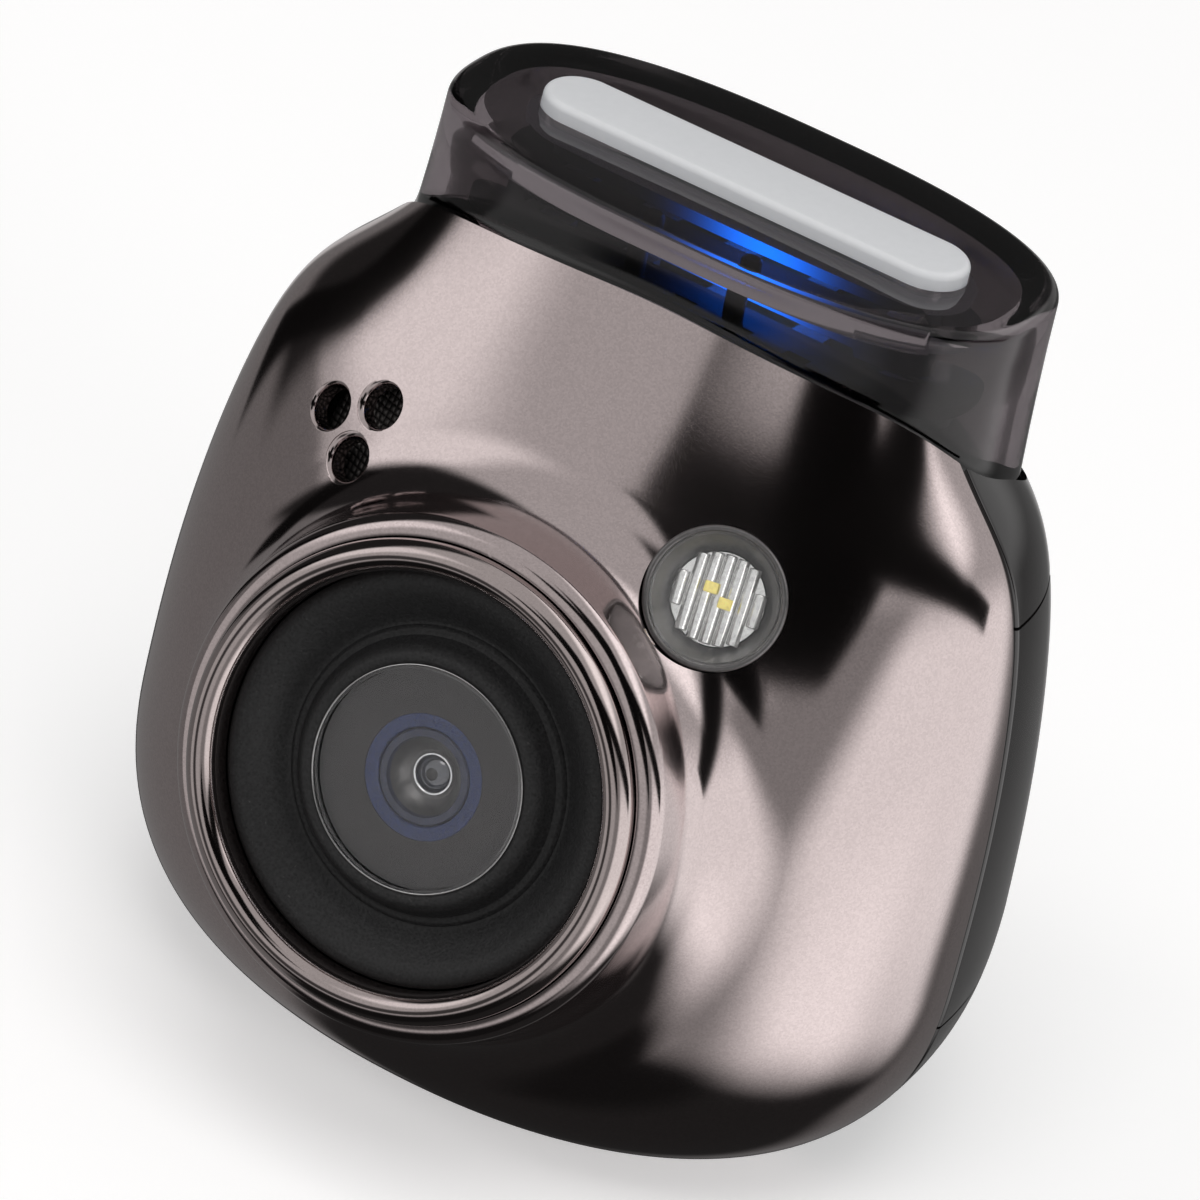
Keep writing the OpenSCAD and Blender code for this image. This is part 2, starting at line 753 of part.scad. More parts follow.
module card_socket() {
    color("#b9bbbd") on_door() difference() {
        translate([-9.4, card_at[0] - 0.95, card_at[1] - 6.3]) cube([6.4, 1.9, 12.6]);
        translate([-8.8, card_at[0] - 0.4, card_at[1] - 5.6]) cube([7, 0.8, 11.2]);
    }
}

front_shell();
rear_shell();
base_plate();
tripod_insert();
chassis();
chassis_screws();
rear_screws();
crown_cover();
crown_bracket();
light_bar();
light_guide();
light_board();
light_leds();
lens_bezel();
lens_rubber_ring();
lens_seat();
cover_glass();
lens_mask();
lens_trim_ring();
lens_barrel();
front_lens();
rear_lens();
lens_holder();
image_sensor();
flash_rim();
flash_window();
flash_reflector();
flash_leds();
flash_board();
speaker();
speaker_mesh();
microphone();
main_board();
battery();
shutter_button();
shutter_dome();
power_button();
function_button();
button_switches();
mode_slider();
mode_switch();
port_door();
hinge_pin();
port_bay();
usb_socket();
card_socket();
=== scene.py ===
"""Palm-sized camera: the looks that are built around its packed construction frame.

Every length inside the classes is in millimetres and becomes metres when a mesh is placed.
Front is -Y and up is +Z, as in the frame.
"""

import logging
import math
from dataclasses import dataclass
from enum import Enum
from typing import Callable, Sequence

import bpy
import numpy as np
from mathutils import Matrix, Vector

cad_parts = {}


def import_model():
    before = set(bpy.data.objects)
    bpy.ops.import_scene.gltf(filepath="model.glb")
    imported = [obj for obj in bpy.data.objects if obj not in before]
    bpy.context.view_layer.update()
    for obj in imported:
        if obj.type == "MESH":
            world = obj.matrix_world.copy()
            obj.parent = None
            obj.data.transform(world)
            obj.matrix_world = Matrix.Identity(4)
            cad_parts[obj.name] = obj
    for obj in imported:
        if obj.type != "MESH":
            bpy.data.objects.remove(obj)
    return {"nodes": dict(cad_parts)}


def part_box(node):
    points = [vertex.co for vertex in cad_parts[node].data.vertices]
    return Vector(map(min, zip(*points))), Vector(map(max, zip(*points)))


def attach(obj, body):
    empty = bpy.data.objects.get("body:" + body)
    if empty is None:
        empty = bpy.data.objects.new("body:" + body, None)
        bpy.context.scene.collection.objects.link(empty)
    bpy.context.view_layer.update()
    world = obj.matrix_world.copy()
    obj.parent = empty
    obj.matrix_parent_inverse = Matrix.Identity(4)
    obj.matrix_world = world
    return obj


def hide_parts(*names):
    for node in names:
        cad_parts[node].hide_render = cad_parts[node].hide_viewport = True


LOG = logging.getLogger("camera")
MM = 0.001

Vec = Sequence[float]
Place = Callable[[np.ndarray, np.ndarray], np.ndarray]


# ---------------------------------------------------------------------------------------
# Modelling helpers
# ---------------------------------------------------------------------------------------


def deselect() -> None:
    """Leaves edit mode and deselects every object."""
    if bpy.context.object is not None and bpy.context.object.mode != "OBJECT":
        bpy.ops.object.mode_set(mode="OBJECT")
    bpy.ops.object.select_all(action="DESELECT")


def pick(piece: bpy.types.Object) -> None:
    """Makes one object the only selected one, and the active one."""
    deselect()
    piece.select_set(True)
    bpy.context.view_layer.objects.active = piece


def edit_all(piece: bpy.types.Object) -> None:
    """Opens a piece in edit mode with all of it selected."""
    pick(piece)
    bpy.ops.object.mode_set(mode="EDIT")
    bpy.ops.mesh.select_all(action="SELECT")


def settle(piece: bpy.types.Object) -> bpy.types.Object:
    """Applies a piece's place, turn and scale to its mesh, so that its object is at the origin."""
    pick(piece)
    bpy.ops.object.transform_apply(location=True, rotation=True, scale=True)
    return piece


def tidy_mesh(piece: bpy.types.Object, merge: float = 1e-4) -> bpy.types.Object:
    """Merges doubled points and turns every face outwards.

    Args:
        piece: The mesh to tidy.
        merge: Distance under which two points become one, in millimetres.

    Returns:
        The same piece.
    """
    edit_all(piece)
    bpy.ops.mesh.remove_doubles(threshold=merge * MM)
    bpy.ops.mesh.normals_make_consistent(inside=False)
    bpy.ops.object.mode_set(mode="OBJECT")
    return piece


def apply_modifier(piece: bpy.types.Object, kind: str, **settings: object) -> bpy.types.Object:
    """Adds one modifier with its settings and applies it.

    Args:
        piece: The mesh that is modified.
        kind: Blender's name of the modifier's type.
        **settings: Values of the modifier's own properties.

    Returns:
        The same piece.
    """
    pick(piece)
    modifier = piece.modifiers.new(kind.lower(), kind)
    for name, value in settings.items():
        setattr(modifier, name, value)
    bpy.ops.object.modifier_apply(modifier=modifier.name)
    return piece


def bevel(piece: bpy.types.Object, width: float, segments: int = 3,
          angle: float = 35.0) -> bpy.types.Object:
    """Rounds the edges of a piece that are sharper than an angle.

    Args:
        piece: The mesh to round.
        width: Width of the rounding, in millimetres.
        segments: Number of steps across the rounding.
        angle: Least angle of an edge that is rounded, in degrees.

    Returns:
        The same piece.
    """
    return apply_modifier(piece, "BEVEL", width=width * MM, segments=segments,
                          limit_method="ANGLE", angle_limit=math.radians(angle))


def cut(piece: bpy.types.Object, *cutters: bpy.types.Object, keep: bool = False) -> None:
    """Cuts closed shapes out of a piece, and removes the cutters.

    Args:
        piece: The mesh that is cut.
        *cutters: Closed meshes that are taken out of it.
        keep: Whether the part inside the cutters is kept instead.
    """
    for cutter in cutters:
        apply_modifier(piece, "BOOLEAN", object=cutter, solver="EXACT",
                       operation="INTERSECT" if keep else "DIFFERENCE")
        bpy.data.objects.remove(cutter, do_unlink=True)


def join(pieces: Sequence[bpy.types.Object], name: str) -> bpy.types.Object:
    """Joins pieces into the first of them and names the result."""
    deselect()
    for piece in pieces:
        piece.select_set(True)
    bpy.context.view_layer.objects.active = pieces[0]
    bpy.ops.object.join()
    pieces[0].name = name
    return pieces[0]


def copy_of(piece: bpy.types.Object, name: str) -> bpy.types.Object:
    """Returns a copy of a piece with its own mesh."""
    twin = piece.copy()
    twin.data = piece.data.copy()
    twin.name = name
    bpy.context.scene.collection.objects.link(twin)
    return twin


def smooth(piece: bpy.types.Object, angle: float = 32.0) -> bpy.types.Object:
    """Shades a piece smooth, with creases at edges sharper than an angle in degrees."""
    pick(piece)
    bpy.ops.object.shade_smooth_by_angle(angle=math.radians(angle))
    return piece


def bisect(piece: bpy.types.Object, point: Vec, normal: Vec) -> None:
    """Removes the part of a piece that lies on the normal's side of a plane.

    Args:
        piece: The mesh to trim.
        point: A point of the plane, in millimetres.
        normal: Direction that points to the part that goes.
    """
    edit_all(piece)
    bpy.ops.mesh.bisect(plane_co=[c * MM for c in point], plane_no=normal, clear_outer=True)
    bpy.ops.object.mode_set(mode="OBJECT")


def formed_grid(name: str, columns: int, rows: int, place: Place) -> bpy.types.Object:
    """Adds a grid and bends it into a shape; edges that meet are merged.

    Args:
        name: Name of the new piece.
        columns: Number of faces along u.
        rows: Number of faces along v.
        place: Gives points in millimetres for arrays of u and v from 0 to 1.

    Returns:
        The formed piece.
    """
    deselect()
    bpy.ops.mesh.primitive_grid_add(x_subdivisions=columns, y_subdivisions=rows, size=2)
    piece = bpy.context.object
    piece.name = name
    flat = np.empty(len(piece.data.vertices) * 3)
    piece.data.vertices.foreach_get("co", flat)
    flat = flat.reshape(-1, 3)
    shaped = place((flat[:, 0] + 1) / 2, (flat[:, 1] + 1) / 2) * MM
    piece.data.vertices.foreach_set("co", shaped.ravel())
    piece.data.update()
    return tidy_mesh(piece)


def turned(name: str, profile: Sequence[tuple[float, float]], axis: Matrix,
           steps: int = 96) -> bpy.types.Object:
    """Turns a closed outline round an axis, as on a lathe.

    Args:
        name: Name of the new piece.
        profile: Closed outline as (radius, height) pairs, in millimetres.
        axis: Frame whose Z is the axis of the turning, with its place in millimetres.
        steps: Number of steps round the axis.

    Returns:
        The turned piece.
    """
    deselect()
    bpy.ops.mesh.primitive_plane_add(size=MM)
    piece = bpy.context.object
    piece.name = name
    bpy.ops.object.mode_set(mode="EDIT")
    bpy.ops.mesh.select_all(action="SELECT")
    bpy.ops.mesh.merge(type="CENTER")
    start = profile[0]
    bpy.ops.transform.translate(value=(start[0] * MM, 0, start[1] * MM))
    for before, after in zip(profile, profile[1:]):
        step = ((after[0] - before[0]) * MM, 0, (after[1] - before[1]) * MM)
        bpy.ops.mesh.extrude_region_move(TRANSFORM_OT_translate={"value": step})
    if profile[0][0] > 0 or profile[-1][0] > 0:
        back = ((start[0] - profile[-1][0]) * MM, 0, (start[1] - profile[-1][1]) * MM)
        bpy.ops.mesh.extrude_region_move(TRANSFORM_OT_translate={"value": back})
    bpy.ops.mesh.select_all(action="SELECT")
    bpy.ops.mesh.remove_doubles(threshold=1e-8)
    bpy.ops.mesh.spin(steps=steps, angle=2 * math.pi, center=(0, 0, 0), axis=(0, 0, 1))
    bpy.ops.object.mode_set(mode="OBJECT")
    tidy_mesh(piece)
    return stand(piece, axis)


def stand(piece: bpy.types.Object, axis: Matrix) -> bpy.types.Object:
    """Moves a piece into a frame whose place is in millimetres, and applies it."""
    piece.matrix_world = metres(axis) @ piece.matrix_world
    return settle(piece)


def metres(axis: Matrix) -> Matrix:
    """Returns a frame with its place changed from millimetres to metres."""
    frame = axis.copy()
    frame.translation = axis.translation * MM
    return frame


def block(name: str, size: Vec, middle: Vec, axis: Matrix | None = None,
          rounding: float = 0.0) -> bpy.types.Object:
    """Adds a box, rounded if asked.

    Args:
        name: Name of the new piece.
        size: Lengths of its sides, in millimetres.
        middle: Its middle in the frame of axis, in millimetres.
        axis: Frame that the box stands in; the object's own frame when left out.
        rounding: Width of its rounded edges, in millimetres.

    Returns:
        The box.
    """
    deselect()
    bpy.ops.mesh.primitive_cube_add(size=1, location=[c * MM for c in middle])
    piece = bpy.context.object
    piece.name = name
    piece.scale = [s * MM for s in size]
    settle(piece)
    if rounding > 0:
        bevel(piece, rounding)
    return stand(piece, axis) if axis is not None else piece


def rod(name: str, radius: float, low: float, high: float, axis: Matrix,
        sides: int = 64, rounding: float = 0.0) -> bpy.types.Object:
    """Adds a round rod along the Z of a frame, between two heights in millimetres."""
    deselect()
    bpy.ops.mesh.primitive_cylinder_add(vertices=sides, radius=radius * MM,
                                        depth=(high - low) * MM,
                                        location=(0, 0, (high + low) / 2 * MM))
    piece = bpy.context.object
    piece.name = name
    settle(piece)
    if rounding > 0:
        bevel(piece, rounding)
    return stand(piece, axis)


def stadium(name: str, length: float, width: float, low: float, high: float, axis: Matrix,
            rounding: float = 0.0, segments: int = 4) -> bpy.types.Object:
    """Adds a bar with round ends along the X of a frame.

    Args:
        name: Name of the new piece.
        length: Overall length, in millimetres.
        width: Width, in millimetres.
        low: Height of its underside in the frame.
        high: Height of its top in the frame.
        axis: Frame that the bar stands in.
        rounding: Width of its rounded edges, in millimetres.
        segments: Steps across the rounding.

    Returns:
        The bar.
    """
    piece = rod(name, width / 2, low, high, Matrix.Identity(4), sides=64)
    reach = (length - width) / 2 * MM
    for side in (-1, 1):
        pick(piece)
        bpy.ops.object.mode_set(mode="EDIT")
        bpy.ops.mesh.select_all(action="DESELECT")
        bpy.ops.object.mode_set(mode="OBJECT")
        for vertex in piece.data.vertices:
            vertex.select = vertex.co.x * side > 1e-6
        bpy.ops.object.mode_set(mode="EDIT")
        bpy.ops.transform.translate(value=(side * reach, 0, 0))
        bpy.ops.object.mode_set(mode="OBJECT")
    if rounding > 0:
        bevel(piece, rounding, segments, angle=60)
    return stand(piece, axis)


def axis_frame(origin: Vec, out: Vec, up: Vec = (0, 0, 1)) -> Matrix:
    """Builds a frame from its origin, the direction of its Z, and a rough direction of its Y.

    Args:
        origin: Place of the frame, in millimetres.
        out: Direction of the frame's Z.
        up: Direction that the frame's Y leans to.

    Returns:
        The frame as a 4 by 4 matrix.
    """
    z = Vector(out).normalized()
    x = Vector(up).cross(z).normalized()
    y = z.cross(x)
    frame = Matrix((x, y, z)).transposed().to_4x4()
    frame.translation = Vector(origin)
    return frame


def centre(node: str) -> Vector:
    """Returns the middle of a construction node's box, in millimetres."""
    low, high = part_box(node)
    return (low + high) / 2 / MM


# ---------------------------------------------------------------------------------------
# Form of the body
# ---------------------------------------------------------------------------------------


def softly_above(value: np.ndarray, width: float) -> np.ndarray:
    """Zero below nought and the value itself above it, with a soft bend of a given width."""
    return np.logaddexp(0, value / width) * width


def rounded_max(a: np.ndarray, b: np.ndarray, width: float) -> np.ndarray:
    """Larger of two distances, with the edge between them rounded over a width."""
    overlap = np.maximum(width - np.abs(a - b), 0)
    return np.maximum(a, b) + overlap ** 2 / (4 * width)


@dataclass(frozen=True)
class LensAxis:
    """Axis of the lens: a frame whose Z points out of the cover glass."""

    origin: Vector
    tilt: float = 14.0

    @property
    def frame(self) -> Matrix:
        """Returns the frame at the face of the cover glass."""
        slope = math.radians(self.tilt)
        return axis_frame(self.origin, (0, -math.cos(slope), math.sin(slope)))


@dataclass(frozen=True)
class BodyForm:
    """Rounded bell of the body, with the raised seat of the lens blended in."""

    lens: Matrix
    half_w: float = 21.15
    front_depth: float = 15.2
    back_depth: float = 20.5
    belly_z: float = 12.4
    shoulder_z: float = 34.8
    lip_z: float = 42.4
    power: float = 2.15
    seat_front: float = 0.6
    seat_front_r: float = 12.0
    seat_round: float = 0.9
    seat_rear_r: float = 13.0
    seat_depth: float = 7.0
    blend: float = 2.6
    shoulder_soft: float = 0.9

    def belly(self, z: np.ndarray) -> np.ndarray:
        """Share of the full width that the body has near its base."""
        low = np.clip((self.belly_z - z) / self.belly_z, 0, 1)
        return 0.35 + 0.65 * (1 - low ** 2.55) ** (1 / 2.55)

    def rise(self, z: np.ndarray) -> np.ndarray:
        """How far a height is from the belly to the shoulder, from 0 to 1."""
        left = (self.shoulder_z - z) / (self.shoulder_z - self.belly_z)
        return np.clip(1 - softly_above(left, 0.045), 0, 1)

    def cap(self, z: np.ndarray) -> np.ndarray:
        """How far a height is from the shoulder to the lip, from 0 to about 1."""
        past = softly_above(z - self.shoulder_z - 0.14, self.shoulder_soft)
        return past / (self.lip_z - self.shoulder_z)

    def width(self, z: np.ndarray) -> np.ndarray:
        """Half width of the body at a height."""
        return (self.half_w * self.belly(z) * (1 - 0.12 * self.rise(z) ** 2.47)
                * (1 - 0.38 * np.minimum(self.cap(z), 1.3) ** 0.6))

    def front(self, z: np.ndarray) -> np.ndarray:
        """Depth of the front at a height."""
        lean = 0.571 * softly_above(z - self.shoulder_z, 1.0)
        return self.front_depth * self.belly(z) * (1 - 0.475 * self.rise(z) ** 2.35) - lean

    def back(self, z: np.ndarray) -> np.ndarray:
        """Depth of the back at a height."""
        return (self.back_depth * self.belly(z) * (1 - 0.317 * self.rise(z))
                * (1 - 0.5 * np.minimum(self.cap(z), 1.3) ** 0.6))

    def bell_gap(self, p: np.ndarray) -> np.ndarray:
        """Rough distance from points to the bell, negative inside it."""
        x, y, z = p[:, 0], p[:, 1], p[:, 2]
        depth = np.maximum(np.where(y < 0, self.front(z), self.back(z)), 0.5)
        ratio = ((np.abs(x) / self.width(z)) ** self.power
                 + (np.abs(y) / depth) ** self.power) ** (1 / self.power)
        around = np.hypot(x, y) * (1 - 1 / np.maximum(ratio, 1e-3))
        return np.maximum(np.maximum(around * 0.93, -z), z - self.lip_z - 1)

    def seat_gap(self, p: np.ndarray) -> np.ndarray:
        """Rough distance from points to the raised seat of the lens, its front edge rounded."""
        inverse = np.array(self.lens.inverted())
        local = p @ inverse[:3, :3].T + inverse[:3, 3]
        share = (self.seat_front - local[:, 2]) / (self.seat_depth + self.seat_front)
        radius = self.seat_front_r + (self.seat_rear_r - self.seat_front_r) * share
        around = np.hypot(local[:, 0], local[:, 1]) - radius
        face = rounded_max(around, local[:, 2] - self.seat_front, self.seat_round)
        return np.maximum(face, -local[:, 2] - self.seat_depth)

    def gap(self, p: np.ndarray) -> np.ndarray:
        """Rough distance from points to the whole body, with a soft fillet at the seat."""
        bell, seat = self.bell_gap(p), self.seat_gap(p)
        mix = np.clip(0.5 + 0.5 * (bell - seat) / self.blend, 0, 1)
        return bell * (1 - mix) + seat * mix - self.blend * mix * (1 - mix)

    def along(self, start: np.ndarray, direction: np.ndarray, reach: float = 60.0) -> np.ndarray:
        """Finds where rays from inside the body leave it.

        Args:
            start: Points inside the body, in millimetres.
            direction: Unit directions of the rays.
            reach: Length that is searched, in millimetres.

        Returns:
            The points on the surface.
        """
        low = np.zeros(len(direction))
        high = np.full(len(direction), reach)
        for _ in range(44):
            middle = (low + high) / 2
            inside = self.gap(start + direction * middle[:, None]) < 0
            low = np.where(inside, middle, low)
            high = np.where(inside, high, middle)
        return start + direction * low[:, None]

    def skin(self, x: float, z: float, side: int = -1) -> Vector:
        """Point of the front (side -1) or back (side 1) surface at x and z."""
        p = self.along(np.array([[x, 0.0, z]]), np.array([[0.0, float(side), 0.0]]))[0]
        return Vector(p)

    def normal(self, point: Vec) -> Vector:
        """Outward direction of the surface at a point."""
        p = np.array([point], float)
        step = 0.05
        slope = [float((self.gap(p + step * e) - self.gap(p - step * e))[0])
                 for e in np.eye(3)[:, None, :]]
        return Vector(slope).normalized()


@dataclass(frozen=True)
class CrownForm:
    """Smoky oval crown: its outline, and the line where its foot meets the body."""

    body: BodyForm
    half_x: float = 15.1
    half_y: float = 7.85
    middle_y: float = 4.05
    top_z: float = 43.8
    power: float = 2.6
    flare: float = 0.7
    flare_from: float = 34.0

    def growth(self, z: np.ndarray) -> np.ndarray:
        """Growth of the oval from the top down to a height."""
        share = np.clip((self.top_z - z) / (self.top_z - self.flare_from), 0, None)
        return self.flare * share ** 1.5

    def outline(self, turn: np.ndarray, grow: np.ndarray) -> np.ndarray:
        """Points of the oval, grown sideways, as an array of x and y."""
        c, s = np.cos(turn), np.sin(turn)
        x = (self.half_x + grow) * np.sign(c) * np.abs(c) ** (2 / self.power)
        y = (self.half_y + grow) * np.sign(s) * np.abs(s) ** (2 / self.power)
        return np.stack([x, y + self.middle_y], 1)

    def foot(self, turn: np.ndarray, grow: float = 0.0) -> np.ndarray:
        """Heights at which the wall of the oval meets the body."""
        low = np.full(len(turn), 30.0)
        high = np.full(len(turn), self.top_z)
        for _ in range(40):
            middle = (low + high) / 2
            spot = self.outline(turn, self.growth(middle) + grow)
            inside = self.body.gap(np.column_stack([spot, middle])) < 0
            low = np.where(inside, middle, low)
            high = np.where(inside, high, middle)
        return low


# ---------------------------------------------------------------------------------------
# Finishes
# ---------------------------------------------------------------------------------------

Colour = tuple[float, float, float]


class Texture(Enum):
    """Which small pattern a finish carries."""

    FLAKE = "paint_flake"
    GRAIN = "moulded_grain"
    WEAVE = "wire_weave"


def add_group(name: str, inputs: Sequence[tuple[str, str, object]],
              outputs: Sequence[tuple[str, str]]) -> tuple[bpy.types.NodeTree, dict]:
    """Starts a shader node group.

    Args:
        name: Name of the group.
        inputs: Name, socket type and starting value of each input.
        outputs: Name and socket type of each output.

    Returns:
        The group, and its two end nodes under the keys "in" and "out".
    """
    group = bpy.data.node_groups.new(name, "ShaderNodeTree")
    for label, kind, value in inputs:
        socket = group.interface.new_socket(name=label, in_out="INPUT", socket_type=kind)
        socket.default_value = value
    for label, kind in outputs:
        group.interface.new_socket(name=label, in_out="OUTPUT", socket_type=kind)
    ends = {"in": group.nodes.new("NodeGroupInput"), "out": group.nodes.new("NodeGroupOutput")}
    return group, ends


def math_node(tree: bpy.types.NodeTree, operation: str, *values: object,
              clamp: bool = False) -> bpy.types.NodeSocket:
    """Adds a Math node, linking sockets and setting numbers, and returns its output."""
    node = tree.nodes.new("ShaderNodeMath")
    node.operation = operation
    node.use_clamp = clamp
    for slot, value in enumerate(values):
        if isinstance(value, bpy.types.NodeSocket):
            tree.links.new(value, node.inputs[slot])
        else:
            node.inputs[slot].default_value = value
    return node.outputs[0]


def noise_node(tree: bpy.types.NodeTree, coords: bpy.types.NodeSocket, scale: object,
               detail: float = 2.0) -> bpy.types.Node:
    """Adds a Noise Texture node on given coordinates."""
    node = tree.nodes.new("ShaderNodeTexNoise")
    tree.links.new(coords, node.inputs["Vector"])
    if isinstance(scale, bpy.types.NodeSocket):
        tree.links.new(scale, node.inputs["Scale"])
    else:
        node.inputs["Scale"].default_value = scale
    node.inputs["Detail"].default_value = detail
    return node


def smudge_group() -> bpy.types.NodeTree:
    """Builds the soft cloudiness that handling leaves: a roughness that drifts, and faint dust."""
    group, ends = add_group(
        "handling_smudges",
        [("Coordinates", "NodeSocketVector", (0, 0, 0)), ("Roughness", "NodeSocketFloat", 0.2),
         ("Amount", "NodeSocketFloat", 0.3), ("Colour", "NodeSocketColor", (0.5, 0.5, 0.5, 1)),
         ("Dust", "NodeSocketFloat", 0.0)],
        [("Roughness", "NodeSocketFloat"), ("Colour", "NodeSocketColor")])
    start, end = ends["in"], ends["out"]
    broad = noise_node(group, start.outputs["Coordinates"], 110.0, 3.0)
    fine = noise_node(group, start.outputs["Coordinates"], 700.0, 4.0)
    drift = math_node(group, "MULTIPLY", broad.outputs["Fac"], fine.outputs["Fac"])
    swing = math_node(group, "SUBTRACT", drift, 0.25)
    share = math_node(group, "MULTIPLY", swing, start.outputs["Amount"])
    factor = math_node(group, "ADD", share, 1.0)
    group.links.new(math_node(group, "MULTIPLY", factor, start.outputs["Roughness"],
                              clamp=True), end.inputs["Roughness"])
    specks = noise_node(group, start.outputs["Coordinates"], 5200.0, 1.0)
    high = math_node(group, "SUBTRACT", specks.outputs["Fac"], 0.72)
    dots = math_node(group, "MULTIPLY", high, 9.0, clamp=True)
    amount = math_node(group, "MULTIPLY", dots, start.outputs["Dust"])
    mix = group.nodes.new("ShaderNodeMix")
    mix.data_type = "RGBA"
    group.links.new(amount, mix.inputs["Factor"])
    group.links.new(start.outputs["Colour"], mix.inputs["A"])
    mix.inputs["B"].default_value = (0.55, 0.53, 0.5, 1)
    group.links.new(mix.outputs["Result"], end.inputs["Colour"])
    return group


def flake_group() -> bpy.types.NodeTree:
    """Builds the flakes in metallic paint: a colour that glitters, and tilted facets."""
    group, ends = add_group(
        "paint_flake",
        [("Coordinates", "NodeSocketVector", (0, 0, 0)), ("Size", "NodeSocketFloat", 9000.0),
         ("Glitter", "NodeSocketFloat", 0.3), ("Colour", "NodeSocketColor", (0.5, 0.5, 0.5, 1))],
        [("Colour", "NodeSocketColor"), ("Height", "NodeSocketFloat")])
    start, end = ends["in"], ends["out"]
    cells = group.nodes.new("ShaderNodeTexVoronoi")
    cells.feature = "F1"
    group.links.new(start.outputs["Coordinates"], cells.inputs["Vector"])
    group.links.new(start.outputs["Size"], cells.inputs["Scale"])
    grey = group.nodes.new("ShaderNodeSeparateColor")
    group.links.new(cells.outputs["Color"], grey.inputs["Color"])
    spread = math_node(group, "SUBTRACT", grey.outputs["Red"], 0.5)
    gain = math_node(group, "MULTIPLY", spread, start.outputs["Glitter"])
    factor = math_node(group, "ADD", gain, 1.0)
    shade = group.nodes.new("ShaderNodeMix")
    shade.data_type = "RGBA"
    shade.blend_type = "MULTIPLY"
    shade.inputs["Factor"].default_value = 1.0
    tone = group.nodes.new("ShaderNodeCombineColor")
    for label in ("Red", "Green", "Blue"):
        group.links.new(factor, tone.inputs[label])
    group.links.new(start.outputs["Colour"], shade.inputs["A"])
    group.links.new(tone.outputs["Color"], shade.inputs["B"])
    group.links.new(shade.outputs["Result"], end.inputs["Colour"])
    group.links.new(grey.outputs["Green"], end.inputs["Height"])
    return group


def grain_group() -> bpy.types.NodeTree:
    """Builds the leathery grain of moulded rubber and spark-eroded plastic."""
    group, ends = add_group(
        "moulded_grain",
        [("Coordinates", "NodeSocketVector", (0, 0, 0)), ("Size", "NodeSocketFloat", 3800.0),
         ("Colour", "NodeSocketColor", (0.02, 0.02, 0.02, 1)),
         ("Contrast", "NodeSocketFloat", 0.5)],
        [("Colour", "NodeSocketColor"), ("Height", "NodeSocketFloat")])
    start, end = ends["in"], ends["out"]
    noise = noise_node(group, start.outputs["Coordinates"], start.outputs["Size"], 3.0)
    cells = group.nodes.new("ShaderNodeTexVoronoi")
    cells.feature = "SMOOTH_F1"
    group.links.new(start.outputs["Coordinates"], cells.inputs["Vector"])
    group.links.new(start.outputs["Size"], cells.inputs["Scale"])
    height = math_node(group, "ADD", noise.outputs["Fac"], cells.outputs["Distance"])
    group.links.new(height, end.inputs["Height"])
    spread = math_node(group, "SUBTRACT", height, 0.95)
    gain = math_node(group, "MULTIPLY", spread, start.outputs["Contrast"])
    factor = math_node(group, "ADD", gain, 1.0, clamp=False)
    tone = group.nodes.new("ShaderNodeCombineColor")
    for label in ("Red", "Green", "Blue"):
        group.links.new(factor, tone.inputs[label])
    shade = group.nodes.new("ShaderNodeMix")
    shade.data_type = "RGBA"
    shade.blend_type = "MULTIPLY"
    shade.inputs["Factor"].default_value = 1.0
    group.links.new(start.outputs["Colour"], shade.inputs["A"])
    group.links.new(tone.outputs["Color"], shade.inputs["B"])
    group.links.new(shade.outputs["Result"], end.inputs["Colour"])
    return group


def weave_group() -> bpy.types.NodeTree:
    """Builds a plain weave of fine wires, with painted shade that darkens the colour down into the dips between them.
    """
    group, ends = add_group(
        "wire_weave",
        [("Coordinates", "NodeSocketVector", (0, 0, 0)), ("Pitch", "NodeSocketFloat", 0.00032),
         ("Colour", "NodeSocketColor", (0.3, 0.29, 0.28, 1))],
        [("Colour", "NodeSocketColor"), ("Height", "NodeSocketFloat")])
    start, end = ends["in"], ends["out"]
    split = group.nodes.new("ShaderNodeSeparateXYZ")
    group.links.new(start.outputs["Coordinates"], split.inputs["Vector"])
    around = math_node(group, "DIVIDE", math.pi, start.outputs["Pitch"])
    across = math_node(group, "SINE", math_node(group, "MULTIPLY", split.outputs["X"], around))
    along = math_node(group, "SINE", math_node(group, "MULTIPLY", split.outputs["Z"], around))
    product = math_node(group, "MULTIPLY", across, along)
    bulge = math_node(group, "ABSOLUTE", product)
    height = math_node(group, "POWER", bulge, 0.6)
    group.links.new(height, end.inputs["Height"])
    # Painted shade: the colour follows the height and is darkest in the dips between the wires.
    tone = group.nodes.new("ShaderNodeCombineColor")
    for label in ("Red", "Green", "Blue"):
        group.links.new(height, tone.inputs[label])
    shade = group.nodes.new("ShaderNodeMix")
    shade.data_type = "RGBA"
    shade.blend_type = "MULTIPLY"
    shade.inputs["Factor"].default_value = 0.9
    group.links.new(start.outputs["Colour"], shade.inputs["A"])
    group.links.new(tone.outputs["Color"], shade.inputs["B"])
    group.links.new(shade.outputs["Result"], end.inputs["Colour"])
    return group


SHARED: dict[str, Callable[[], bpy.types.NodeTree]] = {
    "handling_smudges": smudge_group, "paint_flake": flake_group,
    "moulded_grain": grain_group, "wire_weave": weave_group,
}


def group_node(tree: bpy.types.NodeTree, name: str) -> bpy.types.Node:
    """Places a shared group in a material, building the group the first time."""
    group = bpy.data.node_groups.get(name) or SHARED[name]()
    node = tree.nodes.new("ShaderNodeGroup")
    node.node_tree = group
    return node


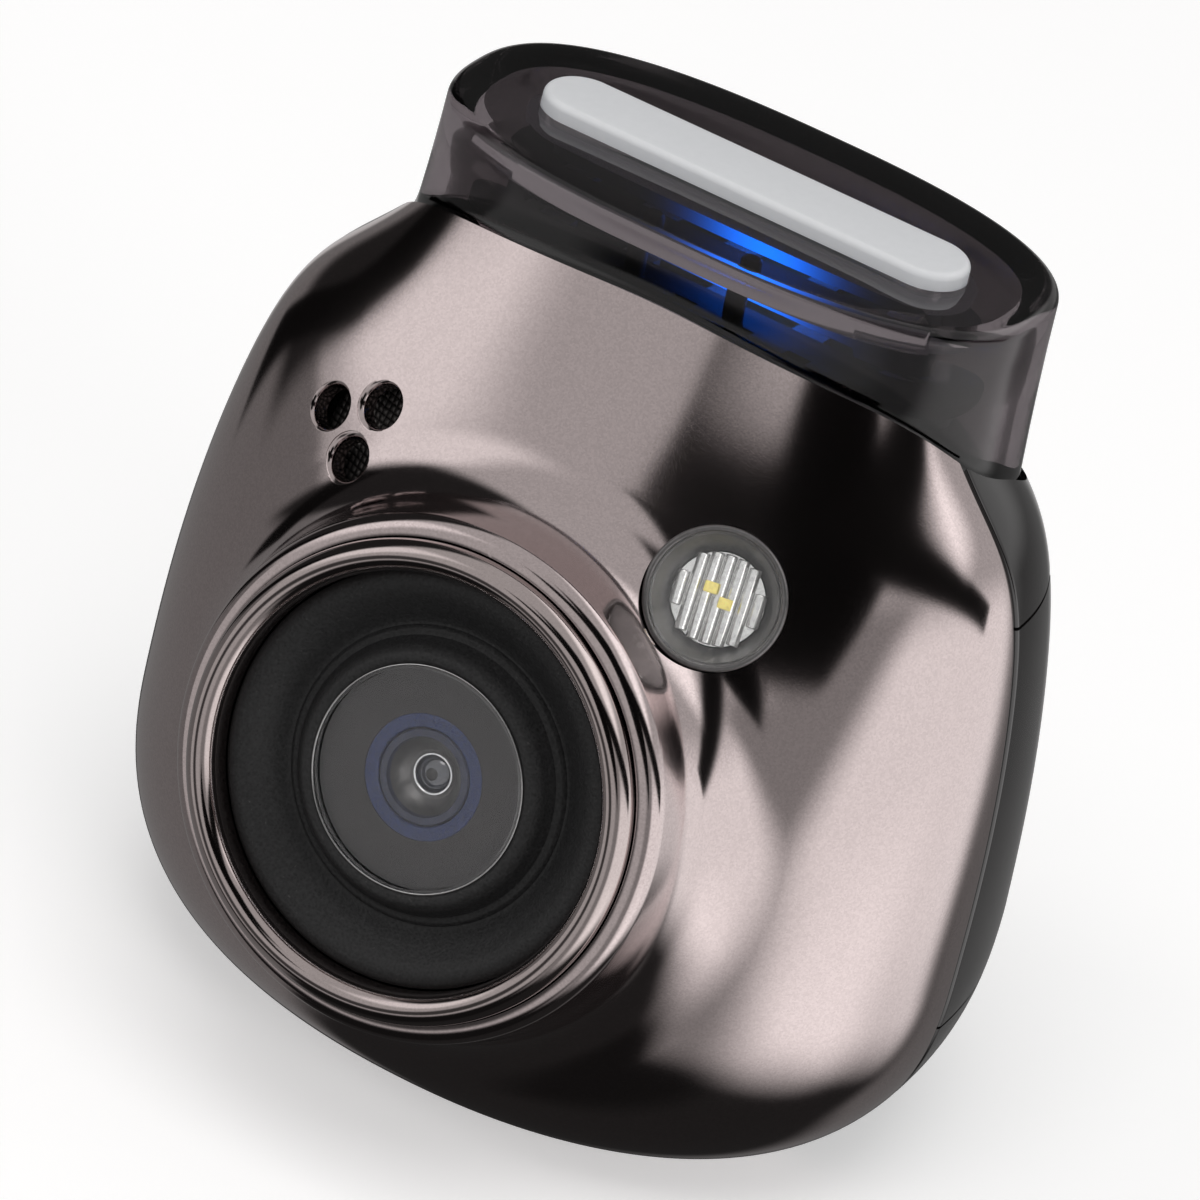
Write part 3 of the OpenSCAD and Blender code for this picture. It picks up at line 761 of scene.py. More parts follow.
@dataclass(frozen=True)
class Finish:
    """Surface finish: its colour and gloss, its small pattern, and how much it is handled."""

    name: str
    colour: Colour
    roughness: float = 0.4
    metallic: float = 0.0
    pattern: Texture | None = None
    size: float = 3800.0
    contrast: float = 0.3
    bump: float = 0.0
    coat: float = 0.0
    coat_roughness: float = 0.03
    transmission: float = 0.0
    ior: float = 1.5
    specular: float = 0.5
    glow: Colour | None = None
    glow_strength: float = 0.0
    glow_spot: tuple[float, float] | None = None
    smudge: float = 0.5
    dust: float = 0.0
    soft: float = 0.0

    def material(self) -> bpy.types.Material:
        """Builds the material, or returns it if it is there already."""
        made = bpy.data.materials.get(self.name)
        if made is not None:
            return made
        made = bpy.data.materials.new(self.name)
        made.use_nodes = True
        tree = made.node_tree
        shader = tree.nodes["Principled BSDF"]
        self.set_constants(shader)
        coords = tree.nodes.new("ShaderNodeTexCoord").outputs["Object"]
        smudges = group_node(tree, "handling_smudges")
        tree.links.new(coords, smudges.inputs["Coordinates"])
        smudges.inputs["Roughness"].default_value = self.roughness
        smudges.inputs["Amount"].default_value = self.smudge
        smudges.inputs["Dust"].default_value = self.dust
        smudges.inputs["Colour"].default_value = (*self.colour, 1)
        tree.links.new(smudges.outputs["Roughness"], shader.inputs["Roughness"])
        tree.links.new(smudges.outputs["Colour"], shader.inputs["Base Color"])
        if self.pattern is not None:
            self.add_pattern(tree, shader, coords, smudges.outputs["Colour"])
        if self.glow_spot is not None:
            self.add_spot(tree, shader, coords)
        return made

    def set_constants(self, shader: bpy.types.Node) -> None:
        """Sets the numbers that are the same all over the surface."""
        shader.inputs["Metallic"].default_value = self.metallic
        shader.inputs["IOR"].default_value = self.ior
        shader.inputs["Specular IOR Level"].default_value = self.specular
        shader.inputs["Transmission Weight"].default_value = self.transmission
        shader.inputs["Coat Weight"].default_value = self.coat
        shader.inputs["Coat Roughness"].default_value = self.coat_roughness
        if self.soft > 0:
            shader.inputs["Subsurface Weight"].default_value = self.soft
            shader.inputs["Subsurface Radius"].default_value = (1.0, 1.0, 1.0)
            shader.inputs["Subsurface Scale"].default_value = 0.0008
        if self.glow is not None:
            shader.inputs["Emission Color"].default_value = (*self.glow, 1)
            shader.inputs["Emission Strength"].default_value = self.glow_strength

    def add_spot(self, tree: bpy.types.NodeTree, shader: bpy.types.Node,
                 coords: bpy.types.NodeSocket) -> None:
        """Fades the glow away on both sides of one place along X."""
        middle, reach = self.glow_spot
        parts = tree.nodes.new("ShaderNodeSeparateXYZ")
        tree.links.new(coords, parts.inputs["Vector"])
        off = math_node(tree, "SUBTRACT", parts.outputs["X"], middle * MM)
        ratio = math_node(tree, "MULTIPLY", off, 1 / (reach * MM))
        square = math_node(tree, "MULTIPLY", ratio, ratio)
        fade = math_node(tree, "EXPONENT", math_node(tree, "MULTIPLY", square, -1.0))
        mix = tree.nodes.new("ShaderNodeMix")
        mix.data_type = "RGBA"
        tree.links.new(fade, mix.inputs["Factor"])
        mix.inputs["A"].default_value = (0, 0, 0, 1)
        mix.inputs["B"].default_value = (*self.glow, 1)
        tree.links.new(mix.outputs["Result"], shader.inputs["Emission Color"])

    def add_pattern(self, tree: bpy.types.NodeTree, shader: bpy.types.Node,
                    coords: bpy.types.NodeSocket, colour: bpy.types.NodeSocket) -> None:
        """Adds the finish's small pattern to the colour and, through a Bump node, the normal."""
        pattern = group_node(tree, self.pattern.value)
        tree.links.new(coords, pattern.inputs["Coordinates"])
        tree.links.new(colour, pattern.inputs["Colour"])
        if self.pattern is Texture.WEAVE:
            pattern.inputs["Pitch"].default_value = self.size
        else:
            pattern.inputs["Size"].default_value = self.size
            name = "Glitter" if self.pattern is Texture.FLAKE else "Contrast"
            pattern.inputs[name].default_value = self.contrast
        tree.links.new(pattern.outputs["Colour"], shader.inputs["Base Color"])
        if self.bump > 0:
            bump = tree.nodes.new("ShaderNodeBump")
            bump.inputs["Strength"].default_value = 1.0
            bump.inputs["Distance"].default_value = self.bump * MM
            tree.links.new(pattern.outputs["Height"], bump.inputs["Height"])
            tree.links.new(bump.outputs["Normal"], shader.inputs["Normal"])


PAINT = Finish("gunmetal_paint", (0.57, 0.49, 0.485), 0.10, 1.0, Texture.FLAKE, 11000.0, 0.14,
               0.0002, coat=0.2, coat_roughness=0.03, smudge=0.25)
GLOSS_BLACK = Finish("gloss_black", (0.010, 0.009, 0.009), 0.09, pattern=Texture.GRAIN,
                     size=300.0, contrast=0.2, coat=0.6, coat_roughness=0.02, dust=0.05)
BRIGHT = Finish("polished_bezel", (0.52, 0.45, 0.44), 0.10, 1.0, Texture.FLAKE, 14000.0, 0.10,
                0.0002, coat=0.2, smudge=0.4)
RUBBER = Finish("matte_rubber", (0.018, 0.018, 0.0185), 0.56, pattern=Texture.GRAIN,
                size=7200.0, contrast=0.9, bump=0.022, specular=0.45, smudge=0.2, dust=0.05)
BLACK = Finish("black_plastic", (0.014, 0.013, 0.013), 0.42, pattern=Texture.GRAIN,
               size=4200.0, contrast=0.4, bump=0.006, dust=0.05)
GLASS = Finish("cover_glass_clear", (0.97, 0.97, 0.98), 0.015, transmission=1.0, ior=1.5,
               coat=0.0, smudge=0.2)
MASK = Finish("lens_mask_brown", (0.020, 0.016, 0.0155), 0.6, pattern=Texture.GRAIN,
              size=2500.0, contrast=0.05, smudge=0.1)
NAVY = Finish("navy_trim", (0.014, 0.026, 0.095), 0.5, pattern=Texture.GRAIN, size=9000.0,
              contrast=1.2, bump=0.012, smudge=0.2)
NAVY_DEEP = Finish("navy_barrel", (0.022, 0.026, 0.055), 0.45, pattern=Texture.GRAIN,
                   size=9000.0, contrast=1.2, bump=0.008, smudge=0.2)
CONE = Finish("lens_cone", (0.085, 0.082, 0.080), 0.32, 0.5, Texture.GRAIN, 7000.0, 0.5,
              0.002, smudge=0.3)
LENS = Finish("lens_glass_dark", (0.02, 0.024, 0.04), 0.02, pattern=Texture.GRAIN, size=900.0,
              contrast=0.4, coat=1.0, coat_roughness=0.01, specular=0.8)
SILVER = Finish("silver_edge", (0.62, 0.62, 0.62), 0.22, 1.0, Texture.GRAIN, 5000.0, 0.2,
                0.001)
RIM = Finish("flash_rim_grey", (0.17, 0.165, 0.165), 0.3, 0.6, Texture.GRAIN, 5000.0, 0.3,
             0.002)
REFLECTOR = Finish("flash_reflector_silver", (0.66, 0.66, 0.65), 0.24, 0.9, Texture.GRAIN,
                   6000.0, 0.3, 0.003)
WINDOW = Finish("flash_window_clear", (0.96, 0.96, 0.96), 0.02, transmission=1.0, ior=1.45,
                smudge=0.2)
DIE = Finish("led_phosphor", (0.85, 0.72, 0.22), 0.5, pattern=Texture.GRAIN, size=6000.0,
             contrast=0.4, bump=0.005, glow=(0.9, 0.75, 0.25), glow_strength=0.25)
# Its weave carries painted shade in the dips between the wires.
MESH = Finish("speaker_wire_mesh", (0.16, 0.15, 0.145), 0.4, 0.7, Texture.WEAVE, 0.00030, 0.0,
              0.09, dust=0.1)
SMOKE = Finish("smoked_clear", (0.14, 0.12, 0.128), 0.03, transmission=1.0, ior=1.49,
               smudge=0.5)
DIFFUSER = Finish("soft_white_diffuser", (0.78, 0.79, 0.80), 0.38, pattern=Texture.GRAIN,
                  size=2600.0, contrast=0.03, soft=0.35, glow=(0.75, 0.85, 1.0),
                  glow_strength=0.06)
BLUE_GUIDE = Finish("glowing_guide", (0.04, 0.06, 0.10), 0.25, pattern=Texture.GRAIN,
                    size=2200.0, contrast=0.6, glow=(0.0, 0.16, 1.0), glow_strength=14.0,
                    glow_spot=(1.8, 2.6))
BOARD = Finish("green_board", (0.012, 0.07, 0.03), 0.4, pattern=Texture.GRAIN, size=1300.0,
               contrast=0.7, bump=0.01)
STEEL = Finish("plated_steel", (0.50, 0.49, 0.48), 0.25, 1.0, Texture.GRAIN, 3000.0, 0.3,
               0.003)
BRASS = Finish("turned_brass", (0.62, 0.42, 0.17), 0.28, 1.0, Texture.GRAIN, 2500.0, 0.3,
               0.003)
FOIL = Finish("pouch_foil", (0.36, 0.38, 0.40), 0.35, 0.8, Texture.GRAIN, 1200.0, 0.3,
              0.01)
PALE_PLASTIC = Finish("pale_plastic", (0.45, 0.44, 0.42), 0.45, pattern=Texture.GRAIN,
                      size=3000.0, contrast=0.2, bump=0.004)


# ---------------------------------------------------------------------------------------
# Handing pieces over to the frame
# ---------------------------------------------------------------------------------------


def hand_over(piece: bpy.types.Object, finish: Finish, body: str = "body",
              replaces: Sequence[str] = (), angle: float = 32.0,
              keep_shading: bool = False) -> bpy.types.Object:
    """Dresses a finished piece, makes it ride on its body and hides the node it stands for.

    Args:
        piece: The finished mesh.
        finish: Its surface finish.
        body: The body that it moves with.
        replaces: Construction nodes that it stands for.
        angle: Edges sharper than this, in degrees, stay creased.
        keep_shading: Whether the mesh already has its own normals.

    Returns:
        The piece.
    """
    if not keep_shading:
        smooth(piece, angle)
    piece.data.materials.clear()
    piece.data.materials.append(finish.material())
    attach(piece, body)
    if replaces:
        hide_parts(*replaces)
    LOG.info("%s: %d faces on %s", piece.name, len(piece.data.polygons), body)
    return piece


def dress(nodes: dict, finish: Finish, *names: str) -> None:
    """Gives carried-over construction nodes a finish."""
    for name in names:
        node = nodes[name]
        for slot in node.material_slots:
            slot.material = finish.material()
        if not node.material_slots:
            node.data.materials.append(finish.material())
        LOG.info("%s dressed in %s", name, finish.name)


# ---------------------------------------------------------------------------------------
# Shells
# ---------------------------------------------------------------------------------------


def closed_star(name: str, gap: Callable[[np.ndarray], np.ndarray], middle: Vec, pole: Vec,
                columns: int, rows: int, samples: int = 700) -> bpy.types.Object:
    """Closes a surface round a point inside it, with its rows gathered where it curves.

    Args:
        name: Name of the new piece.
        gap: Distance to the surface, negative inside it.
        middle: A point that sees all of the surface.
        pole: Direction of the first pole.
        columns: Number of faces round the pole.
        rows: Number of faces from pole to pole.
        samples: Rays along each column that the rows are chosen from.

    Returns:
        The closed mesh.
    """
    frame = np.array(axis_frame((0, 0, 0), pole))[:3, :3]
    start = np.array(middle, float)
    turns = np.linspace(0, 2 * math.pi, columns + 1)
    lifts = np.linspace(0, math.pi, samples)

    def reach(turn: np.ndarray, lift: np.ndarray) -> np.ndarray:
        local = np.stack([np.sin(lift) * np.cos(turn), np.sin(lift) * np.sin(turn),
                          np.cos(lift)], -1).reshape(-1, 3)
        direction = local @ frame.T
        low, high = np.zeros(len(direction)), np.full(len(direction), 45.0)
        for _ in range(34):
            half = (low + high) / 2
            inside = gap(start + direction * half[:, None]) < 0
            low, high = np.where(inside, half, low), np.where(inside, high, half)
        return (start + direction * low[:, None]).reshape(*lift.shape, 3)

    rays = reach(np.broadcast_to(turns[:-1, None], (columns, samples)),
                 np.broadcast_to(lifts, (columns, samples)))
    steps = np.diff(rays, axis=1)
    length = np.linalg.norm(steps, axis=2)
    ahead = steps / np.maximum(length, 1e-9)[..., None]
    bend = np.arccos(np.clip((ahead[:, 1:] * ahead[:, :-1]).sum(2), -1, 1))
    weight = length.copy()
    weight[:, 1:] += 3.2 * bend
    kernel = np.ones(9) / 9
    weight = np.apply_along_axis(lambda line: np.convolve(line, kernel, "same"), 1, weight)
    weight = (weight + np.roll(weight, 1, 0) + np.roll(weight, -1, 0)) / 3
    share = np.concatenate([np.zeros((columns, 1)), np.cumsum(weight, 1)], 1)
    share /= share[:, -1:]
    wanted = np.linspace(0, 1, rows + 1)
    chosen = np.stack([np.interp(wanted, line, lifts) for line in share])
    chosen = np.concatenate([chosen, chosen[:1]], 0)
    table = reach(np.broadcast_to(turns[:, None], chosen.shape), chosen)

    def place(u: np.ndarray, v: np.ndarray) -> np.ndarray:
        return table[np.rint(u * columns).astype(int), np.rint(v * rows).astype(int)]

    return formed_grid(name, columns, rows, place)


def true_shading(piece: bpy.types.Object, gap: Callable[[np.ndarray], np.ndarray],
                 near: float = 0.03, lean: float = 0.8) -> bpy.types.Object:
    """Gives the faces that lie on a formed surface that surface's own normals.

    Args:
        piece: A mesh whose holes have been cut.
        gap: Distance to the formed surface.
        near: Distance from the surface that still counts as on it, in millimetres.
        lean: Least cosine between a face and the surface for the face to count.

    Returns:
        The same piece.
    """
    smooth(piece, 35)
    mesh = piece.data
    points = np.empty(len(mesh.vertices) * 3)
    mesh.vertices.foreach_get("co", points)
    points = points.reshape(-1, 3) / MM
    step = 0.02
    slope = np.stack([gap(points + step * axis) - gap(points - step * axis)
                      for axis in np.eye(3)], 1)
    slope /= np.maximum(np.linalg.norm(slope, axis=1, keepdims=True), 1e-9)
    on_skin = np.abs(gap(points)) < near
    corner = np.empty(len(mesh.loops), int)
    mesh.loops.foreach_get("vertex_index", corner)
    normals = np.empty(len(mesh.loops) * 3)
    mesh.corner_normals.foreach_get("vector", normals)
    normals = normals.reshape(-1, 3)
    faces = np.empty(len(mesh.polygons) * 3)
    mesh.polygons.foreach_get("normal", faces)
    sides = np.empty(len(mesh.polygons), int)
    mesh.polygons.foreach_get("loop_total", sides)
    owner = np.repeat(faces.reshape(-1, 3), sides, axis=0)
    facing = (owner * slope[corner]).sum(1) > lean
    use = facing & on_skin[corner]
    normals[use] = slope[corner][use]
    mesh.normals_split_custom_set(normals.tolist())
    return piece


@dataclass
class Shells:
    """Painted front shell, gloss rear shell and the side door that is cut from its wall."""

    body: BodyForm
    crown: CrownForm
    flash: Matrix
    speaker: Matrix
    shutter: Matrix
    door: Matrix
    left_spots: Sequence[Matrix]
    slot_spot: Matrix
    wall: float = 1.25
    parting: float = 0.045
    edge_round: float = 0.3
    bore_r: float = 11.14
    flash_bore_r: float = 3.34
    hole_r: float = 1.02
    hole_lip: float = 0.34
    hole_pitch: float = 2.85
    hole_turn: float = 62.0
    crown_room: float = 0.74
    rear_top: float = 38.1
    shutter_bore_r: float = 7.65
    button_bore_r: float = 2.15
    door_size: tuple[float, float] = (7.6, 21.0)
    screw_x: float = 8.0
    screw_z: float = 5.0

    def hole_middles(self) -> list[Vector]:
        """Returns the middles of the speaker's holes."""
        reach = self.hole_pitch / math.sqrt(3)
        return [self.speaker @ Vector((reach * math.cos(a), reach * math.sin(a), 0))
                for a in (math.radians(self.hole_turn + turn) for turn in (0, 120, 240))]

    def front_gap(self, p: np.ndarray) -> np.ndarray:
        """Distance to the outside of the front shell."""
        return rounded_max(self.body.gap(p), p[:, 1] + self.parting, self.edge_round)

    def rear_gap(self, p: np.ndarray) -> np.ndarray:
        """Distance to the outside of the rear shell."""
        shell = rounded_max(self.body.gap(p), self.parting - p[:, 1], self.edge_round)
        return np.maximum(shell, p[:, 2] - self.rear_top)

    def hollow(self, side: int) -> bpy.types.Object:
        """Builds the room inside one shell; side is -1 for the front and 1 for the rear."""
        def gap(p: np.ndarray) -> np.ndarray:
            return np.maximum(self.body.gap(p) + self.wall, side * -p[:, 1] - 2)
        return closed_star("hollow", gap, (0, side * 5.6, 17.7), (0, side, 0.25), 128, 72, 300)

    def crown_column(self, grow: float, low: float = 33.0) -> bpy.types.Object:
        """Builds the oval column that the crown stands in."""
        def place(u: np.ndarray, v: np.ndarray) -> np.ndarray:
            turn = 2 * math.pi * u
            spot = self.crown.outline(turn, np.full(len(u), grow))
            middle = np.array([0.0, self.crown.middle_y])
            share = np.clip(np.minimum(v, 1 - v) * 3, 0, 1)[:, None]
            spot = middle + (spot - middle) * share
            height = np.where(v < 0.5, low, 47.0)
            return np.column_stack([spot, height])
        return formed_grid("crown_column", 192, 6, place)

    def front(self) -> bpy.types.Object:
        """Builds the front shell with its bore, holes and crown opening."""
        shell = closed_star("front_shell_skin", self.front_gap, (0, -5.6, 17.7),
                            self.body.lens.col[2][:3], 400, 190, 1100)
        lens, around = self.body.lens, Matrix.Identity(4)
        cut(shell, self.crown_column(self.crown_room), self.hollow(-1),
            rod("bore", self.bore_r, -30, 20, lens, 256),
            rod("flash_bore", self.flash_bore_r, -6, 6, self.flash, 128), rod("base_hole", 5.35, -1, 2.6, around, 96),
            self.hole_cutter())
        return true_shading(shell, self.front_gap)

    def hole_cutter(self) -> bpy.types.Object:
        """Builds the shape of the three speaker holes, each flared to a round lip."""
        lip, out = self.hole_lip, Vector(self.speaker.col[2][:3])
        holes = []
        for rough in self.hole_middles():
            start = np.array([rough - 5 * out])
            middle = Vector(self.body.along(start, np.array([out]), 12.0)[0])
            profile = [(0, -4.5), (self.hole_r, -4.5)]
            profile += [(self.hole_r + lip * (1 - math.cos(a)), lip * (math.sin(a) - 1))
                        for a in np.radians(np.linspace(0, 78, 9))]
            profile += [(self.hole_r + lip, 0.5), (0, 0.5)]
            spot = axis_frame(middle, self.body.normal(middle) * 0.6 + out * 0.4)
            holes.append(turned("hole", profile, spot, 72))
        return join(holes, "holes")

    def rear_skin(self) -> bpy.types.Object:
        """Returns the uncut solid of the rear shell and door, built the first time."""
        made = bpy.data.objects.get("rear_solid")
        return made or closed_star("rear_solid", self.rear_gap, (0, 5.6, 17.7),
                                   (0, 0.961, 0.276), 288, 150, 900)

    def rear(self) -> bpy.types.Object:
        """Builds the rear shell with its openings."""
        shell = copy_of(self.rear_skin(), "rear_shell_skin")
        deep, high = self.door_size
        cut(shell, self.crown_column(self.crown_room), self.hollow(1),
            rod("bore", self.shutter_bore_r, -7, 8, self.shutter, 192),
            rod("base_hole", 5.35, -1, 2.6, Matrix.Identity(4), 96),
            block("door_way", (12, deep + 4.15, high + 0.3), (0, (deep - 3.85) / 2, high / 2),
                  self.door))
        for spot in self.left_spots:
            cut(shell, rod("button_way", self.button_bore_r, -3, 3, spot, 96))
        cut(shell, block("slot", (2.0, 6.5, 6.0), (0, 0, 0), self.slot_spot, 0.35))
        for x in (-self.screw_x, self.screw_x):
            back = axis_frame((x, 14.4, self.screw_z), (0, 1, 0))
            cut(shell, rod("screw_way", 1.25, 0, 10, back, 48))
        return true_shading(shell, self.rear_gap)

    def side_door(self) -> bpy.types.Object:
        """Builds the door from the wall of the rear shell, with a hinge barrel."""
        door = copy_of(self.rear_skin(), "side_door")
        deep, high = self.door_size
        cut(door, block("outline", (10, deep + 4, high), (3, (deep - 4) / 2, high / 2),
                        self.door, 0.3), keep=True)
        cut(door, self.hollow(1))
        for low in (1.0, 5.6):
            cut(door, block("lug_way", (3.9, 1.3, 4.0), (-2.0, low + 0.5, -0.25), self.door))
        true_shading(door, self.rear_gap)
        hinge = self.door @ axis_frame((-0.85, 2.2, 0.95), (0, 1, 0))
        barrel = turned("barrel", [(0.4, 0), (0.62, 0), (0.72, 0.1), (0.72, 3.1), (0.62, 3.2),
                                   (0.4, 3.2)], hinge, 32)
        smooth(barrel)
        return join([door, barrel], "side_door")

    def make(self) -> None:
        """Builds the three pieces and hands them over."""
        hand_over(self.front(), PAINT, replaces=["front_shell"],
                  keep_shading=True)
        hand_over(self.rear(), GLOSS_BLACK, replaces=["rear_shell"],
                  keep_shading=True)
        hand_over(self.side_door(), GLOSS_BLACK, "door", ["port_door"],
                  keep_shading=True)
        bpy.data.objects.remove(self.rear_skin(), do_unlink=True)


# ---------------------------------------------------------------------------------------
# Crown
# ---------------------------------------------------------------------------------------


@dataclass
class Crown:
    """Smoky cover, its light bar, and the bracket below them."""

    form: CrownForm
    wall: float = 1.2
    top_round: float = 0.55
    dish: float = 0.22
    bar: tuple[float, float] = (22.2, 3.9)
    bar_proud: float = 0.6
    bar_power: float = 3.2
    foot_flare: float = 0.34
    bracket_z: float = 38.2

    def stadium_points(self, turn: np.ndarray, grow: np.ndarray) -> np.ndarray:
        """Points round the opening of the bar, spread by angle as the oval's are."""
        half, radius = (self.bar[0] - self.bar[1]) / 2, self.bar[1] / 2 + grow
        c, s = np.cos(turn), np.sin(turn)
        x = np.clip(c * (half + 3.4), -half, half)
        reach_x = np.sign(c) * np.sqrt(np.maximum(1 - s ** 2 * (1 + 0 * c), 0))
        past = np.clip((np.abs(c) * (half + 3.4) - half) / 3.4, 0, 1)
        lift = np.sqrt(np.maximum(1 - past ** 2, 0))
        side = np.where(past > 0, past, 0) * np.sign(reach_x)
        return np.stack([x + radius * side, self.form.middle_y + radius * lift * np.sign(s)], 1)

    def cover(self) -> bpy.types.Object:
        """Builds the cover: flared foot, wall, rounded rim, dished top and inner faces."""
        form, columns = self.form, 256
        turn = np.linspace(0, 2 * math.pi, columns + 1)
        foot = form.foot(turn, 0.70)
        rings: list[np.ndarray] = []

        def wall_ring(height: np.ndarray, grow: np.ndarray) -> None:
            rings.append(np.column_stack([form.outline(turn, grow), height]))

        rim_low = form.top_z - self.top_round
        for drop in (-1.2, -0.5, -0.15, 0.0, 0.12, 0.25, 0.4, 0.6, 0.85, 1.15, 1.5):
            height = np.minimum(foot + drop, rim_low - 0.05)
            flare = 0.62 * math.exp(-max(drop, 0) / self.foot_flare)
            wall_ring(height, form.growth(height) * 0.6 + flare)
        last = np.minimum(foot + 1.5, rim_low - 0.05)
        for share in (0.25, 0.5, 0.75, 1.0):
            height = last + (rim_low - last) * share
            wall_ring(height, form.growth(height) * 0.6 + 0.0 * height)
        for angle in np.radians(np.linspace(10, 90, 9)):
            wall_ring(np.full(columns + 1, rim_low + self.top_round * math.sin(angle)),
                      np.full(columns + 1, self.top_round * (math.cos(angle) - 1)))
        edge = form.outline(turn, np.full(columns + 1, -self.top_round))
        opening = self.stadium_points(turn, np.full(columns + 1, 0.06))
        for share in (0.12, 0.25, 0.4, 0.55, 0.7, 0.8, 0.9, 0.96, 1.0):
            spot = edge + (opening - edge) * share
            rings.append(np.column_stack([
                spot, np.full(columns + 1, form.top_z - self.dish * math.sin(
                    math.pi / 2 * min(share * 1.15, 1)) ** 2)]))
        under = form.top_z - self.wall
        rings.append(np.column_stack([opening, np.full(columns + 1, under)]))
        inner = form.outline(turn, np.full(columns + 1, -self.wall - 0.1))
        rings.append(np.column_stack([opening + (inner - opening) * 0.9,
                                      np.full(columns + 1, under)]))
        low = foot - 1.2
        for share in (0.1, 0.4, 0.7, 1.0):
            height = under + (low - under) * share
            rings.append(np.column_stack([
                form.outline(turn, form.growth(height) * 0.6 - self.wall), height]))
        rings.append(rings[0])
        table = np.stack(rings, 1)
        rows = len(rings) - 1

        def place(u: np.ndarray, v: np.ndarray) -> np.ndarray:
            return table[np.rint(u * columns).astype(int), np.rint(v * rows).astype(int)]

        return formed_grid("crown_cover_dish", columns, rows, place)

    def light_bar(self) -> bpy.types.Object:
        """Builds the light bar with softly rounded edges and its flange."""
        axis = Matrix.Translation((0, self.form.middle_y, 0))
        top = self.form.top_z
        body = stadium("light_bar_lens", *self.bar, top - 2.2, top + self.bar_proud, axis,
                       0.34, 6)
        flange = stadium("flange", self.bar[0] + 1.2, self.bar[1] + 1.2, top - 2.2, top - 1.25,
                         axis, 0.1, 2)
        return join([body, flange], "light_bar_lens")

    def bracket(self) -> bpy.types.Object:
        """Builds the notched bracket and its two small posts."""
        axis = Matrix.Translation((0, self.form.middle_y, self.bracket_z))
        plate = stadium("crown_bracket_plate", 26, 10.4, 0, 0.8, axis, 0.12, 2)
        cut(plate, stadium("window", self.bar[0] - 0.8, 3.4, -1, 2, axis))
        for x in range(-9, 10, 3):
            cut(plate, block("notch", (1.2, 1.2, 3), (x, -4.8, 0.5), axis))
        posts = []
        for x in (-2.8, 2.4):
            spot = axis @ Matrix.Translation((x, -4.2, 0))
            posts.append(turned("post", [(0, 0.2), (0.62, 0.2), (0.5, 1.0), (0.5, 2.9),
                                         (0.38, 3.15), (0, 3.2)], spot, 32))
        return join([plate, *posts], "crown_bracket_plate")

    def make(self) -> None:
        """Builds the crown's pieces and hands them over."""
        hand_over(self.cover(), SMOKE, replaces=["crown_cover"], angle=50)
        hand_over(self.light_bar(), DIFFUSER, replaces=["light_bar"])
        hand_over(self.bracket(), BLACK, replaces=["crown_bracket"])


# ---------------------------------------------------------------------------------------
# Lens
# ---------------------------------------------------------------------------------------


def arc(radius: float, height: float, size: float, start: float, end: float, steps: int,
        squash: float = 1.0) -> list[tuple[float, float]]:
    """Points along an arc of an outline.

    Args:
        radius: Radius at the middle of the arc.
        height: Height at the middle of the arc.
        size: Radius of the arc itself.
        start: First angle in degrees, from the outward direction.
        end: Last angle.
        steps: Number of steps.
        squash: Height of the arc as a share of its width.

    Returns:
        The points as (radius, height) pairs.
    """
    angles = np.radians(np.linspace(start, end, steps + 1))
    return [(radius + size * math.cos(a), height + size * squash * math.sin(a)) for a in angles]


def soft_line(points: Sequence[tuple[float, float]], steps: int = 6) -> list[tuple[float, float]]:
    """Runs a smooth curve through the points of an outline.

    Args:
        points: Points that the curve passes through.
        steps: Number of steps between two of them.

    Returns:
        The points of the curve.
    """
    knots = np.array(points, float)
    padded = np.vstack([2 * knots[0] - knots[1], knots, 2 * knots[-1] - knots[-2]])
    line: list[tuple[float, float]] = []
    for a, b, c, d in zip(padded, padded[1:], padded[2:], padded[3:]):
        for t in np.linspace(0, 1, steps, endpoint=False):
            p = 0.5 * ((2 * b) + (c - a) * t + (2 * a - 5 * b + 4 * c - d) * t * t
                       + (3 * b - a - 3 * c + d) * t ** 3)
            line.append((float(p[0]), float(p[1])))
    line.append((float(knots[-1][0]), float(knots[-1][1])))
    return line


